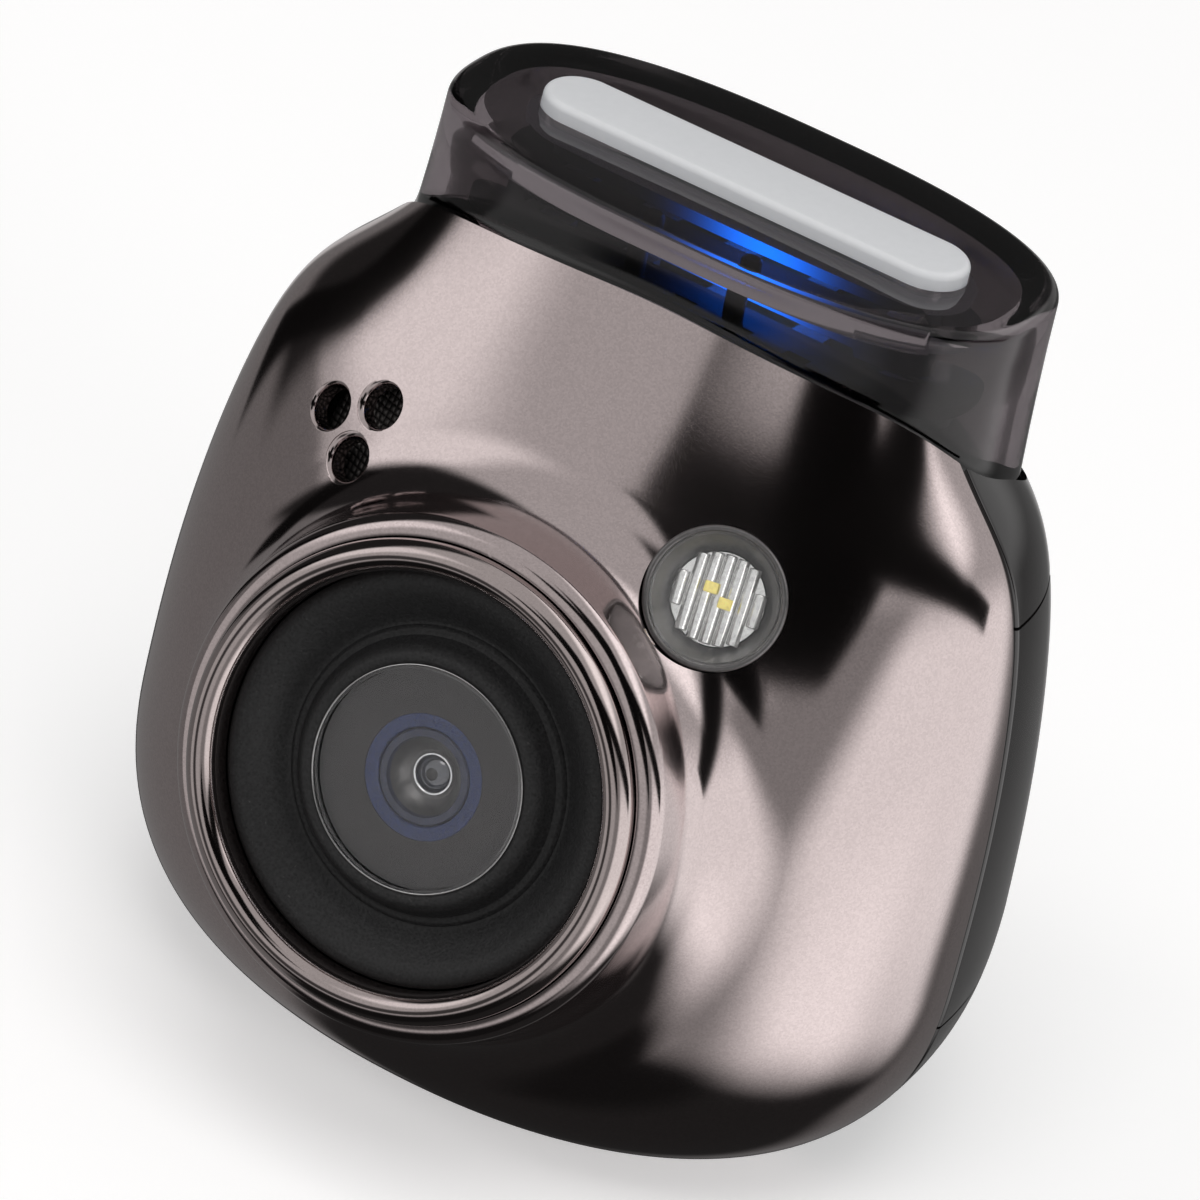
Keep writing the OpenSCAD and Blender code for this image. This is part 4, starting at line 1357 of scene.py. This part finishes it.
@dataclass
class LensStack:
    """Bright bezel, rubber trough, cover glass, coloured trim and the small front lens."""

    axis: Matrix
    glass_r: float = 5.2
    rubber_r: float = 9.6
    bezel_r: float = 11.08

    def bezel(self) -> bpy.types.Object:
        """Builds the rounded bright ring."""
        middle = (self.rubber_r + self.bezel_r) / 2
        half = (self.bezel_r - self.rubber_r) / 2
        profile = [(self.rubber_r, -2.4), (self.bezel_r, -2.4), (self.bezel_r, 0.4)]
        profile += arc(middle, 0.75, half, 0, 180, 24, 1.25)
        profile += [(self.rubber_r, 0.4)]
        return turned("lens_bezel_ring", profile, self.axis, 256)

    def rubber(self) -> bpy.types.Object:
        """Builds the rubber trough between the bezel and the glass."""
        outer, inner = self.rubber_r - 0.05, self.glass_r + 0.05
        face = soft_line([(outer, -0.12), (9.3, 0.08), (8.9, 0.12), (8.45, -0.08),
                          (7.9, -0.55), (7.35, -1.05), (7.05, -1.24), (6.9, -1.26)], 5)
        step = soft_line([(6.86, -1.2), (6.72, -1.08), (6.55, -1.06)], 4)
        bead = soft_line([(6.45, -1.02), (6.25, -0.72), (6.05, -0.32), (5.75, -0.02),
                          (5.45, 0.0), (5.32, -0.08)], 5)
        profile = [(inner, -1.8), (outer, -1.8)] + face + step + bead + [(inner, -0.1)]
        return turned("lens_rubber_trough", profile, self.axis, 256)

    def glass(self) -> bpy.types.Object:
        """Builds the cover glass with a small chamfer."""
        r = self.glass_r
        profile = [(0, -0.62), (r - 0.02, -0.62), (r - 0.02, -0.14), (r - 0.14, -0.03), (0, -0.0)]
        return turned("cover_glass_disc", profile, self.axis, 192)

    def glass_edge(self) -> bpy.types.Object:
        """Builds the thin polished line round the glass."""
        r = self.glass_r
        profile = arc(r + 0.03, -0.06, 0.05, 0, 330, 11)
        return turned("cover_glass_line", profile, self.axis, 192)

    def mask(self) -> bpy.types.Object:
        """Builds the brown mask behind the glass, with its rim wall."""
        r = self.glass_r
        profile = [(2.93, -0.95), (r - 0.02, -0.95), (r - 0.02, -1.25), (2.93, -1.25)]
        return turned("lens_mask_disc", profile, self.axis, 192)

    def trim(self) -> bpy.types.Object:
        """Builds the navy ring."""
        profile = [(2.28, -1.5), (2.92, -1.5), (2.92, -0.99), (2.9, -0.97), (2.34, -0.97),
                   (2.28, -1.03)]
        return turned("lens_trim_navy", profile, self.axis, 192)

    def barrel(self) -> bpy.types.Object:
        """Builds the barrel: inner navy ring, cone and the seat of the front lens."""
        profile = [(4.6, -8.35), (4.6, -1.75), (2.24, -1.75), (2.22, -1.06), (2.16, -1.0),
                   (1.86, -1.02), (1.82, -1.12), (1.80, -1.3), (1.45, -1.75), (1.02, -2.1),
                   (0.9, -2.12), (0.9, -8.35)]
        return turned("lens_barrel_turned", profile, self.axis, 192)

    def cone(self) -> bpy.types.Object:
        """Builds the pale cone round the front lens."""
        profile = soft_line([(1.80, -1.28), (1.5, -1.68), (1.2, -1.95), (1.0, -2.04)], 4)
        profile += [(0.95, -2.12), (1.45, -1.77)]
        return turned("lens_cone_ring", profile, self.axis, 128)

    def lens_line(self) -> bpy.types.Object:
        """Builds the bright line round the front lens."""
        return turned("front_lens_line", arc(0.93, -2.0, 0.075, 0, 330, 11), self.axis, 96)

    def front_lens(self) -> bpy.types.Object:
        """Builds the domed front lens."""
        dome = arc(0, -3.1, 1.25, 44, 90, 12)
        profile = [(0, -2.6)] + [(0.86, -2.6)] + dome
        return turned("front_lens_dome", profile, self.axis, 96)

    def pupil(self) -> bpy.types.Object:
        """Builds a small black disc on the front lens: painted shade for the dark pupil seen into the lens."""
        profile = [(0, -1.95), (0.27, -1.95), (0.29, -1.87), (0.22, -1.82), (0, -1.81)]
        return turned("front_lens_pupil_shade", profile, self.axis, 64)

    def make(self) -> None:
        """Builds the stack and hands it over."""
        hand_over(self.bezel(), BRIGHT, replaces=["lens_bezel"])
        hand_over(self.rubber(), RUBBER, replaces=["lens_rubber_ring"])
        hand_over(self.glass(), GLASS, replaces=["cover_glass"])
        hand_over(self.glass_edge(), SILVER)
        hand_over(self.mask(), MASK, replaces=["lens_mask"])
        hand_over(self.trim(), NAVY, replaces=["lens_trim_ring"])
        hand_over(self.barrel(), NAVY_DEEP, replaces=["lens_barrel"])
        hand_over(self.cone(), CONE)
        hand_over(self.lens_line(), SILVER)
        hand_over(self.front_lens(), LENS, replaces=["front_lens"])
        # Black disc on the front lens: painted shade for its dark pupil.
        hand_over(self.pupil(), BLACK)


# ---------------------------------------------------------------------------------------
# Flash and speaker
# ---------------------------------------------------------------------------------------


@dataclass
class Flash:
    """Round flash: grey rim, clear window, ribbed reflector and two light dies."""

    axis: Matrix
    rim_r: float = 3.3
    window_r: float = 3.0
    reflector_r: float = 2.1
    ribs: int = 7

    def rim(self) -> bpy.types.Object:
        """Builds the rim, its rounded lip and the cone down to the reflector."""
        r, w, c = self.rim_r, self.window_r, self.reflector_r
        profile = [(r, -3.4), (r, 0.1)] + arc(r - 0.15, 0.12, 0.15, 0, 180, 8)
        profile += [(w + 0.02, 0.0), (w + 0.02, -0.68), (w - 0.1, -0.72), (2.35, -1.5),
                    (c + 0.05, -1.62), (c + 0.05, -3.4)]
        return turned("flash_rim_ring", profile, self.axis, 160)

    def window(self) -> bpy.types.Object:
        """Builds the clear window with a faint dome."""
        r = self.window_r - 0.01
        profile = [(0, -0.62), (r, -0.62), (r, -0.1), (r - 0.1, -0.02), (1.5, 0.08), (0, 0.12)]
        return turned("flash_window_lens", profile, self.axis, 160)

    def reflector(self) -> bpy.types.Object:
        """Builds the ribbed reflector: half-round ribs on a round plate."""
        r = self.reflector_r
        plate = rod("flash_reflector_ribs", r, -2.0, -1.5, self.axis, 96)
        pitch = 2 * r / self.ribs
        bars = [plate]
        for k in range(self.ribs):
            x = (k - (self.ribs - 1) / 2) * pitch
            half = math.sqrt(max(r * r - (abs(x) - pitch * 0.3) ** 2, 0.2)) - 0.05
            if abs(x) > r - pitch:
                half = math.sqrt(max(r * r - (abs(x) + pitch * 0.25) ** 2, 0.2))
            spot = self.axis @ axis_frame((x, 0, -1.5), (0, 1, 0), (0, 0, 1))
            bars.append(rod("rib", pitch / 2 - 0.015, -half, half, spot, 40, 0.06))
        return join(bars, "flash_reflector_ribs")

    def dies(self) -> bpy.types.Object:
        """Builds the two light dies, seen through the reflector's middle ribs."""
        first = block("flash_dies", (0.62, 0.5, 0.25), (-0.42, 0.42, -1.12), self.axis, 0.06)
        second = block("die", (0.62, 0.5, 0.25), (0.40, -0.1, -1.12), self.axis, 0.06)
        return join([first, second], "flash_dies")

    def make(self) -> None:
        """Builds the flash and hands it over."""
        hand_over(self.rim(), RIM, replaces=["flash_rim"])
        hand_over(self.window(), WINDOW, replaces=["flash_window"])
        hand_over(self.reflector(), REFLECTOR, replaces=["flash_reflector"])
        hand_over(self.dies(), DIE, replaces=["flash_leds"])


@dataclass
class Speaker:
    """Wire mesh that shows through the three holes."""

    axis: Matrix
    radius: float = 3.1

    def make(self) -> None:
        """Builds the mesh disc with a folded rim and hands it over."""
        r = self.radius
        profile = [(0, -2.0), (0, -1.86), (r - 0.3, -1.88), (r - 0.1, -1.94), (r, -2.05),
                   (r, -2.2), (r - 0.12, -2.2), (r - 0.14, -2.08), (r - 0.35, -2.02)]
        piece = turned("speaker_mesh_disc", profile, self.axis, 96)
        hand_over(piece, MESH, replaces=["speaker_mesh"])


# ---------------------------------------------------------------------------------------
# Controls, base and screws
# ---------------------------------------------------------------------------------------


@dataclass
class Controls:
    """Shutter button, the two side buttons and the mode slider."""

    shutter: Matrix
    left_spots: Sequence[Matrix]
    slot_spot: Matrix
    shutter_r: float = 7.5
    button_r: float = 2.0
    slider_drop: float = 1.5

    def shutter_cap(self) -> bpy.types.Object:
        """Builds the domed shutter button with a rounded edge."""
        r = self.shutter_r
        crown = soft_line([(r, -1.15), (r - 0.04, -0.95), (r - 0.25, -0.82), (6.2, -0.50),
                           (4.5, -0.17), (2.6, 0.06), (0, 0.18)], 5)
        profile = [(0, -1.8), (r - 1.2, -1.8), (r - 1.2, -5.15), (r + 0.8, -5.15),
                   (r + 0.8, -4.35), (r, -4.35)] + crown
        return turned("shutter_button_cap", profile, self.shutter, 192)

    def side_cap(self, name: str, spot: Matrix, pip: bool) -> bpy.types.Object:
        """Builds a side button, with a raised pip or a shallow dish to tell it by touch."""
        r = self.button_r
        face = [(r, 0.12), (r - 0.06, 0.24), (r - 0.2, 0.3)]
        if pip:
            face += [(0.75, 0.22), (0.55, 0.22), (0.42, 0.29), (0, 0.3)]
        else:
            face += [(1.3, 0.24), (0.7, 0.1), (0, 0.06)]
        profile = [(0, -1.9), (1.4, -1.9), (1.4, -2.3), (r + 0.6, -2.3), (r + 0.6, -1.85),
                   (r, -1.8)] + soft_line(face, 4)
        return turned(name, profile, spot, 96)

    def slider(self) -> bpy.types.Object:
        """Builds the slider's knob with three grip ribs, and its tongue."""
        knob = block("mode_slider_knob", (1.7, 3.2, 2.0), (0, -self.slider_drop, -0.8),
                     self.slot_spot, 0.22)
        ribs = [block("rib", (1.3, 0.28, 0.35), (0, -self.slider_drop + y, 0.2),
                      self.slot_spot, 0.07) for y in (-0.7, 0, 0.7)]
        tongue = block("tongue", (3.4, 5.0, 0.6), (0, -self.slider_drop, -2.1),
                       self.slot_spot, 0.1)
        return join([knob, *ribs, tongue], "mode_slider_knob")

    def make(self) -> None:
        """Builds the controls and hands them over."""
        hand_over(self.shutter_cap(), GLOSS_BLACK, "shutter",
                  ["shutter_button"])
        names = (("power_button_cap", "power", "power_button", True),
                 ("function_button_cap", "function", "function_button", False))
        for (name, body, node, pip), spot in zip(names, self.left_spots):
            hand_over(self.side_cap(name, spot, pip), BLACK, body, [node])
        hand_over(self.slider(), BLACK, "mode", ["mode_slider"])


@dataclass
class Base:
    """Base plate, threaded insert and the rear screws."""

    plate_r: float = 5.3
    insert_r: float = 3.9
    thread_r: float = 3.17
    depth: float = 5.0
    height: float = 5.8
    pitch: float = 1.27
    screw_x: float = 8.0
    screw_z: float = 5.0

    def plate(self) -> bpy.types.Object:
        """Builds the plate with a chamfered rim and a shallow friction groove."""
        r, c = self.plate_r, self.insert_r + 0.05
        profile = [(c, 1.5), (c, 0.1), (c + 0.08, 0.02), (4.3, 0.02), (4.4, 0.16), (4.75, 0.16),
                   (4.85, 0.02), (r - 0.15, 0.02), (r, 0.17), (r, 1.5)]
        return turned("base_plate_disc", profile, Matrix.Identity(4), 128)

    def insert(self) -> bpy.types.Object:
        """Builds the brass insert with a thread cut in its bore."""
        columns, turns = 96, self.depth / self.pitch
        rows = int(turns * 12)
        levels = np.linspace(0, self.depth - 0.4, rows + 1)

        def place(u: np.ndarray, v: np.ndarray) -> np.ndarray:
            k = np.rint(v * (rows + 6)).astype(int)
            inner = np.clip(k - 3, 0, rows)
            height = levels[inner]
            phase = (height / self.pitch - u) % 1.0
            tooth = np.abs(phase - 0.5) * 2
            fade = np.clip(height / 0.7, 0, 1)
            radius = self.thread_r - 0.5 * np.clip(tooth * 1.2 - 0.1, 0, 1) * fade
            radius = np.where(k == 2, self.thread_r + 0.12, radius)
            radius = np.where(k <= 1, self.insert_r, radius)
            height = np.where(k == 0, self.height, np.where(k == 1, 0.1, height))
            height = np.where(k == 2, 0.0, height)
            height = np.where(k == rows + 4, self.depth, height)
            radius = np.where(k >= rows + 4, 0.0, radius)
            height = np.where(k >= rows + 5, self.height - 0.2 * (k < rows + 6), height)
            radius = np.where(k == rows + 6, self.insert_r, radius)
            turn = 2 * math.pi * u
            return np.column_stack([radius * np.cos(turn), radius * np.sin(turn), height])

        return formed_grid("tripod_insert_threaded", columns, rows + 6, place)

    def screws(self) -> bpy.types.Object:
        """Builds the two rear screws with crossed recesses."""
        pieces = []
        for x in (-self.screw_x, self.screw_x):
            spot = axis_frame((x, 14.4, self.screw_z), (0, 1, 0))
            head = turned("rear_screw_pair", [(0, -15), (0.6, -15), (0.6, 0), (1.1, 0),
                                              (1.1, 0.45)] + arc(0.6, 0.45, 0.5, 0, 90, 6, 0.7)
                          + [(0, 0.8)], spot, 48)
            for size in ((0.28, 1.3, 1.0), (1.3, 0.28, 1.0)):
                cut(head, block("cross", size, (0, 0, 0.85), spot))
            pieces.append(head)
        return join(pieces, "rear_screw_pair")

    def make(self) -> None:
        """Builds the base and the screws and hands them over."""
        hand_over(self.plate(), BLACK, replaces=["base_plate"])
        hand_over(self.insert(), BRASS, replaces=["tripod_insert"])
        hand_over(self.screws(), STEEL, replaces=["rear_screws"])


# ---------------------------------------------------------------------------------------
# Studio
# ---------------------------------------------------------------------------------------


@dataclass(frozen=True)
class Lamp:
    """Soft rectangular light: where it stands, where it looks, and its size and power."""

    name: str
    place: Vec
    aim: Vec
    size: tuple[float, float]
    power: float
    colour: Colour = (1.0, 0.98, 0.97)

    def make(self) -> None:
        """Adds the light."""
        data = bpy.data.lights.new(self.name, "AREA")
        data.shape = "RECTANGLE"
        data.size, data.size_y = self.size[0], self.size[1]
        data.energy = self.power
        data.color = self.colour
        lamp = bpy.data.objects.new(self.name, data)
        bpy.context.scene.collection.objects.link(lamp)
        lamp.location = self.place
        direction = Vector(self.aim) - Vector(self.place)
        lamp.rotation_euler = direction.to_track_quat("-Z", "Y").to_euler()
        lamp.visible_glossy = False


def facing(azimuth: float, elevation: float) -> Vector:
    """Direction seen from the object: azimuth 0 is in front and 90 to the right, in degrees."""
    a, e = math.radians(azimuth), math.radians(elevation)
    return Vector((math.sin(a) * math.cos(e), -math.cos(a) * math.cos(e), math.sin(e)))


@dataclass(frozen=True)
class Panel:
    """Soft-edged rectangle on the inside of the light tent, white, grey or black."""

    azimuth: float
    elevation: float
    wide: float
    tall: float
    level: float
    edge: float = 0.25
    turn: float = 0.0

    def axes(self) -> tuple[Vector, Vector, Vector]:
        """Returns the panel's middle direction, its right and its up."""
        middle = facing(self.azimuth, self.elevation)
        right = Vector((0, 0, 1)).cross(middle).normalized()
        up = middle.cross(right)
        turn = math.radians(self.turn)
        return (middle, right * math.cos(turn) + up * math.sin(turn),
                up * math.cos(turn) - right * math.sin(turn))


def panel_group() -> bpy.types.NodeTree:
    """Builds the mask of one soft-edged panel from a direction."""
    group, ends = add_group(
        "tent_panel",
        [(label, "NodeSocketVector", (0, 0, 1)) for label in ("Direction", "Middle", "Right",
                                                              "Up")]
        + [(label, "NodeSocketFloat", 0.2) for label in ("Wide", "Tall", "Edge")],
        [("Mask", "NodeSocketFloat")])
    start, end = ends["in"].outputs, ends["out"].inputs

    def dot(label: str) -> bpy.types.NodeSocket:
        """Adds the dot product of the direction and one of the panel's axes."""
        node = group.nodes.new("ShaderNodeVectorMath")
        node.operation = "DOT_PRODUCT"
        group.links.new(start["Direction"], node.inputs[0])
        group.links.new(start[label], node.inputs[1])
        return node.outputs["Value"]

    ahead = math_node(group, "MAXIMUM", dot("Middle"), 0.02)
    masks = []
    for label, reach in (("Right", "Wide"), ("Up", "Tall")):
        off = math_node(group, "ABSOLUTE", math_node(group, "DIVIDE", dot(label), ahead))
        spare = math_node(group, "SUBTRACT", start[reach], off)
        ramp = group.nodes.new("ShaderNodeMapRange")
        ramp.interpolation_type = "SMOOTHSTEP"
        group.links.new(spare, ramp.inputs["Value"])
        group.links.new(math_node(group, "MULTIPLY", start["Edge"], -0.5),
                        ramp.inputs["From Min"])
        group.links.new(math_node(group, "MULTIPLY", start["Edge"], 0.5),
                        ramp.inputs["From Max"])
        masks.append(ramp.outputs["Result"])
    front = math_node(group, "GREATER_THAN", dot("Middle"), 0.05)
    both = math_node(group, "MULTIPLY", masks[0], masks[1])
    group.links.new(math_node(group, "MULTIPLY", both, front), end["Mask"])
    return group


SHARED["tent_panel"] = panel_group


@dataclass(frozen=True)
class Tent:
    """Light tent round the object, seen only in its reflections."""

    panels: Sequence[Panel]
    level: float = 0.5
    radius: float = 0.6

    def make(self) -> None:
        """Adds the tent, which only reflected rays can see."""
        deselect()
        bpy.ops.mesh.primitive_uv_sphere_add(segments=48, ring_count=24, radius=self.radius)
        tent = bpy.context.object
        tent.name = "light_tent"
        made = bpy.data.materials.new("tent_cloth")
        made.use_nodes = True
        tree = made.node_tree
        tree.nodes.clear()
        coords = tree.nodes.new("ShaderNodeTexCoord").outputs["Object"]
        unit = tree.nodes.new("ShaderNodeVectorMath")
        unit.operation = "NORMALIZE"
        tree.links.new(coords, unit.inputs[0])
        level: object = self.level
        for panel in self.panels:
            node = group_node(tree, "tent_panel")
            tree.links.new(unit.outputs["Vector"], node.inputs["Direction"])
            for label, axis in zip(("Middle", "Right", "Up"), panel.axes()):
                node.inputs[label].default_value = axis
            node.inputs["Wide"].default_value = math.tan(math.radians(panel.wide))
            node.inputs["Tall"].default_value = math.tan(math.radians(panel.tall))
            node.inputs["Edge"].default_value = panel.edge
            keep = math_node(tree, "SUBTRACT", 1.0, node.outputs["Mask"])
            old = math_node(tree, "MULTIPLY", keep, level)
            level = math_node(tree, "MULTIPLY_ADD", node.outputs["Mask"], panel.level, old)
        light = tree.nodes.new("ShaderNodeEmission")
        light.inputs["Color"].default_value = (1, 0.985, 0.98, 1)
        tree.links.new(level, light.inputs["Strength"])
        end = tree.nodes.new("ShaderNodeOutputMaterial")
        tree.links.new(light.outputs["Emission"], end.inputs["Surface"])
        tent.data.materials.append(made)
        tent.visible_camera = False
        tent.visible_diffuse = False
        tent.visible_shadow = False
        tent.visible_transmission = False
        tent.visible_volume_scatter = False


@dataclass
class Studio:
    """White floor and surroundings, soft lamps, the light tent and the camera."""

    lamps: Sequence[Lamp]
    tent: Tent
    target: Vec = (0.0, 0.000555, 0.022)
    azimuth: float = 22.498
    elevation: float = 29.641
    roll: float = 14.272
    distance: float = 0.415956
    slide: tuple[float, float] = (0.000803, -0.000506)
    lens: float = 269.0
    world_level: float = 0.3

    def camera(self) -> None:
        """Adds the camera at the viewing angle of the build."""
        a, e, roll = (math.radians(v) for v in (self.azimuth, self.elevation, self.roll))
        right = Vector((math.cos(a), math.sin(a), 0))
        up = Vector((-math.sin(a) * math.sin(e), math.cos(a) * math.sin(e), math.cos(e)))
        back = Vector((math.sin(a) * math.cos(e), -math.cos(a) * math.cos(e), math.sin(e)))
        x = right * math.cos(roll) + up * math.sin(roll)
        y = up * math.cos(roll) - right * math.sin(roll)
        data = bpy.data.cameras.new("view")
        data.lens = self.lens
        data.sensor_width = 36.0
        data.clip_start = 0.01
        data.clip_end = 20.0
        camera = bpy.data.objects.new("view", data)
        bpy.context.scene.collection.objects.link(camera)
        frame = Matrix((x, y, back)).transposed().to_4x4()
        frame.translation = (Vector(self.target) + back * self.distance - right * self.slide[0]
                             - up * self.slide[1])
        camera.matrix_world = frame
        bpy.context.scene.camera = camera

    def floor(self) -> None:
        """Adds the floor: white where it is seen, and shaded by the object."""
        deselect()
        bpy.ops.mesh.primitive_plane_add(size=4.0, location=(0, 0, -0.00002))
        floor = bpy.context.object
        floor.name = "studio_floor"
        settle(floor)
        made = bpy.data.materials.new("pale_floor")
        made.use_nodes = True
        tree = made.node_tree
        shader = tree.nodes["Principled BSDF"]
        shader.inputs["Base Color"].default_value = (0.86, 0.86, 0.86, 1)
        shader.inputs["Roughness"].default_value = 0.9
        shader.inputs["Specular IOR Level"].default_value = 0.1
        light = tree.nodes.new("ShaderNodeEmission")
        light.inputs["Color"].default_value = (1, 1, 1, 1)
        light.inputs["Strength"].default_value = 0.42
        both = tree.nodes.new("ShaderNodeAddShader")
        path = tree.nodes.new("ShaderNodeLightPath")
        seen = math_node(tree, "MAXIMUM", path.outputs["Is Camera Ray"],
                         path.outputs["Is Transmission Ray"])
        pick_shader = tree.nodes.new("ShaderNodeMixShader")
        tree.links.new(shader.outputs["BSDF"], both.inputs[0])
        tree.links.new(light.outputs["Emission"], both.inputs[1])
        tree.links.new(seen, pick_shader.inputs["Fac"])
        tree.links.new(shader.outputs["BSDF"], pick_shader.inputs[1])
        tree.links.new(both.outputs["Shader"], pick_shader.inputs[2])
        tree.links.new(pick_shader.outputs["Shader"],
                       tree.nodes["Material Output"].inputs["Surface"])
        floor.data.materials.append(made)
        floor.visible_glossy = False

    def world(self) -> None:
        """Sets white surroundings for camera, reflections and glass, dimmer for soft light."""
        world = bpy.data.worlds.new("surroundings")
        bpy.context.scene.world = world
        world.use_nodes = True
        tree = world.node_tree
        shader = tree.nodes["Background"]
        shader.inputs["Color"].default_value = (1, 1, 1, 1)
        path = tree.nodes.new("ShaderNodeLightPath")
        seen = math_node(tree, "MAXIMUM", path.outputs["Is Camera Ray"],
                         path.outputs["Is Transmission Ray"])
        shown = math_node(tree, "MAXIMUM", seen, path.outputs["Is Glossy Ray"])
        level = math_node(tree, "MULTIPLY_ADD", shown, 1.0 - self.world_level,
                          self.world_level)
        tree.links.new(level, shader.inputs["Strength"])

    def make(self) -> None:
        """Sets the stage."""
        self.camera()
        self.floor()
        self.world()
        for item in (*self.lamps, self.tent):
            item.make()
        bpy.context.scene.view_settings.view_transform = "Standard"


# ---------------------------------------------------------------------------------------
# The whole camera
# ---------------------------------------------------------------------------------------

LAMPS = (
    Lamp("top_box", (0.10, -0.30, 0.85), (0, 0, 0.02), (0.6, 0.5), 3.0),
    Lamp("left_box", (-0.85, -0.35, 0.35), (0, 0, 0.02), (0.3, 0.6), 1.2),
    Lamp("right_box", (0.85, -0.40, 0.30), (0, 0, 0.02), (0.3, 0.6), 1.6),
)
TENT = Tent((
    # Dark lower half, grey on the left, and soft bright sweeps low on the right
    Panel(0, -90, 62, 62, 0.02, 1.2),
    Panel(-20, -55, 55, 22, 0.01, 0.3),
    Panel(-95, -25, 40, 38, 0.19, 0.15),
    Panel(45, -5, 20, 34, 0.30, 0.3),
    Panel(95, -8, 42, 26, 1.15, 0.5, -12),
    Panel(78, -30, 20, 9, 1.45, 0.5),
    Panel(165, -25, 22, 30, 0.15, 0.3),
    # Black flags: left of the body, and over the right shoulder
    Panel(-108, 28, 34, 24, 0.02, 0.2, -15),
    Panel(62, 40, 58, 9, 0.005, 0.10, -22),
    Panel(25, 50, 14, 14, 0.005, 0.12),
    # Bright boxes: high on the right, and left of the front
    Panel(135, 48, 30, 13, 1.5, 0.3),
    Panel(-55, 35, 14, 16, 1.1, 0.25),
    # Sharp black flags: left of the front, right of it, before the lens, and behind
    Panel(-93, 8, 6, 24, 0.005, 0.06, -40),
    Panel(27, 29, 15, 12, 0.004, 0.07, -12),
    Panel(-17, -6, 11, 13, 0.06, 0.2),
    Panel(-158, 30, 14, 14, 0.10, 0.2),
), 0.55)


def main() -> None:
    """Builds the camera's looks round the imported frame."""
    logging.basicConfig(level=logging.INFO, format="%(name)s: %(message)s")
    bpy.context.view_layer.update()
    nodes = FRAME["nodes"]
    tilt = math.radians(LensAxis.tilt)
    out = Vector((0, -math.cos(tilt), math.sin(tilt)))
    lens = LensAxis(centre("cover_glass") + out * 0.45).frame
    body = BodyForm(lens)
    crown = CrownForm(body, top_z=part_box("crown_cover")[1].z / MM,
                      middle_y=centre("crown_cover").y)
    flash_out = Vector((0.2219, -0.8460, 0.4848))
    flash = axis_frame(centre("flash_window") + flash_out * 0.3, flash_out)
    speaker_out = Vector((-0.3338, -0.8261, 0.4540))
    speaker = axis_frame(centre("speaker_mesh") + speaker_out * 2.05, speaker_out)
    lean = math.radians(16.0)
    depth = float(body.back(np.array([19.0]))[0])
    shutter = axis_frame((0, depth, 19.0), (0, math.cos(lean), math.sin(lean)))
    side = math.radians(15.0)
    side_out = (-math.cos(side), math.sin(side), 0)

    def left_spot(height: float) -> Matrix:
        """Returns the frame on the left side at a height."""
        wide, deep = (float(f(np.array([height]))[0]) for f in (body.width, body.back))
        reach = wide * (1 - (4.5 / deep) ** body.power) ** (1 / body.power)
        return axis_frame((-reach, 4.5, height), side_out)

    left = [left_spot(centre(name).z) for name in ("power_button", "function_button")]
    slot_spot = left_spot(13.5)
    door_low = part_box("port_door")[0].z / MM
    door_turn = math.radians(9.0)
    door = axis_frame((21.05, 0, door_low), (0, 0, 1), (-math.sin(door_turn),
                                                        math.cos(door_turn), 0))
    LOG.info("lens at %s, door foot at %.2f", tuple(lens.translation), door_low)

    Shells(body, crown, flash, speaker, shutter, door, left, slot_spot).make()
    Crown(crown).make()
    LensStack(lens).make()
    Flash(flash).make()
    Speaker(speaker).make()
    Controls(shutter, left, slot_spot).make()
    Base().make()
    dress(nodes, BLACK, "chassis", "lens_seat", "lens_holder", "speaker", "port_bay")
    dress(nodes, STEEL, "chassis_screws", "hinge_pin", "usb_socket", "card_socket",
          "microphone")
    dress(nodes, BOARD, "light_board", "main_board", "flash_board", "image_sensor")
    dress(nodes, BLUE_GUIDE, "light_guide")
    dress(nodes, PALE_PLASTIC, "light_leds", "button_switches", "mode_switch")
    dress(nodes, LENS, "rear_lens")
    dress(nodes, FOIL, "battery")
    dress(nodes, BLACK, "shutter_dome")
    Studio(LAMPS, TENT).make()


if __name__ == "__main__":
    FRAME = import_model()
    main()
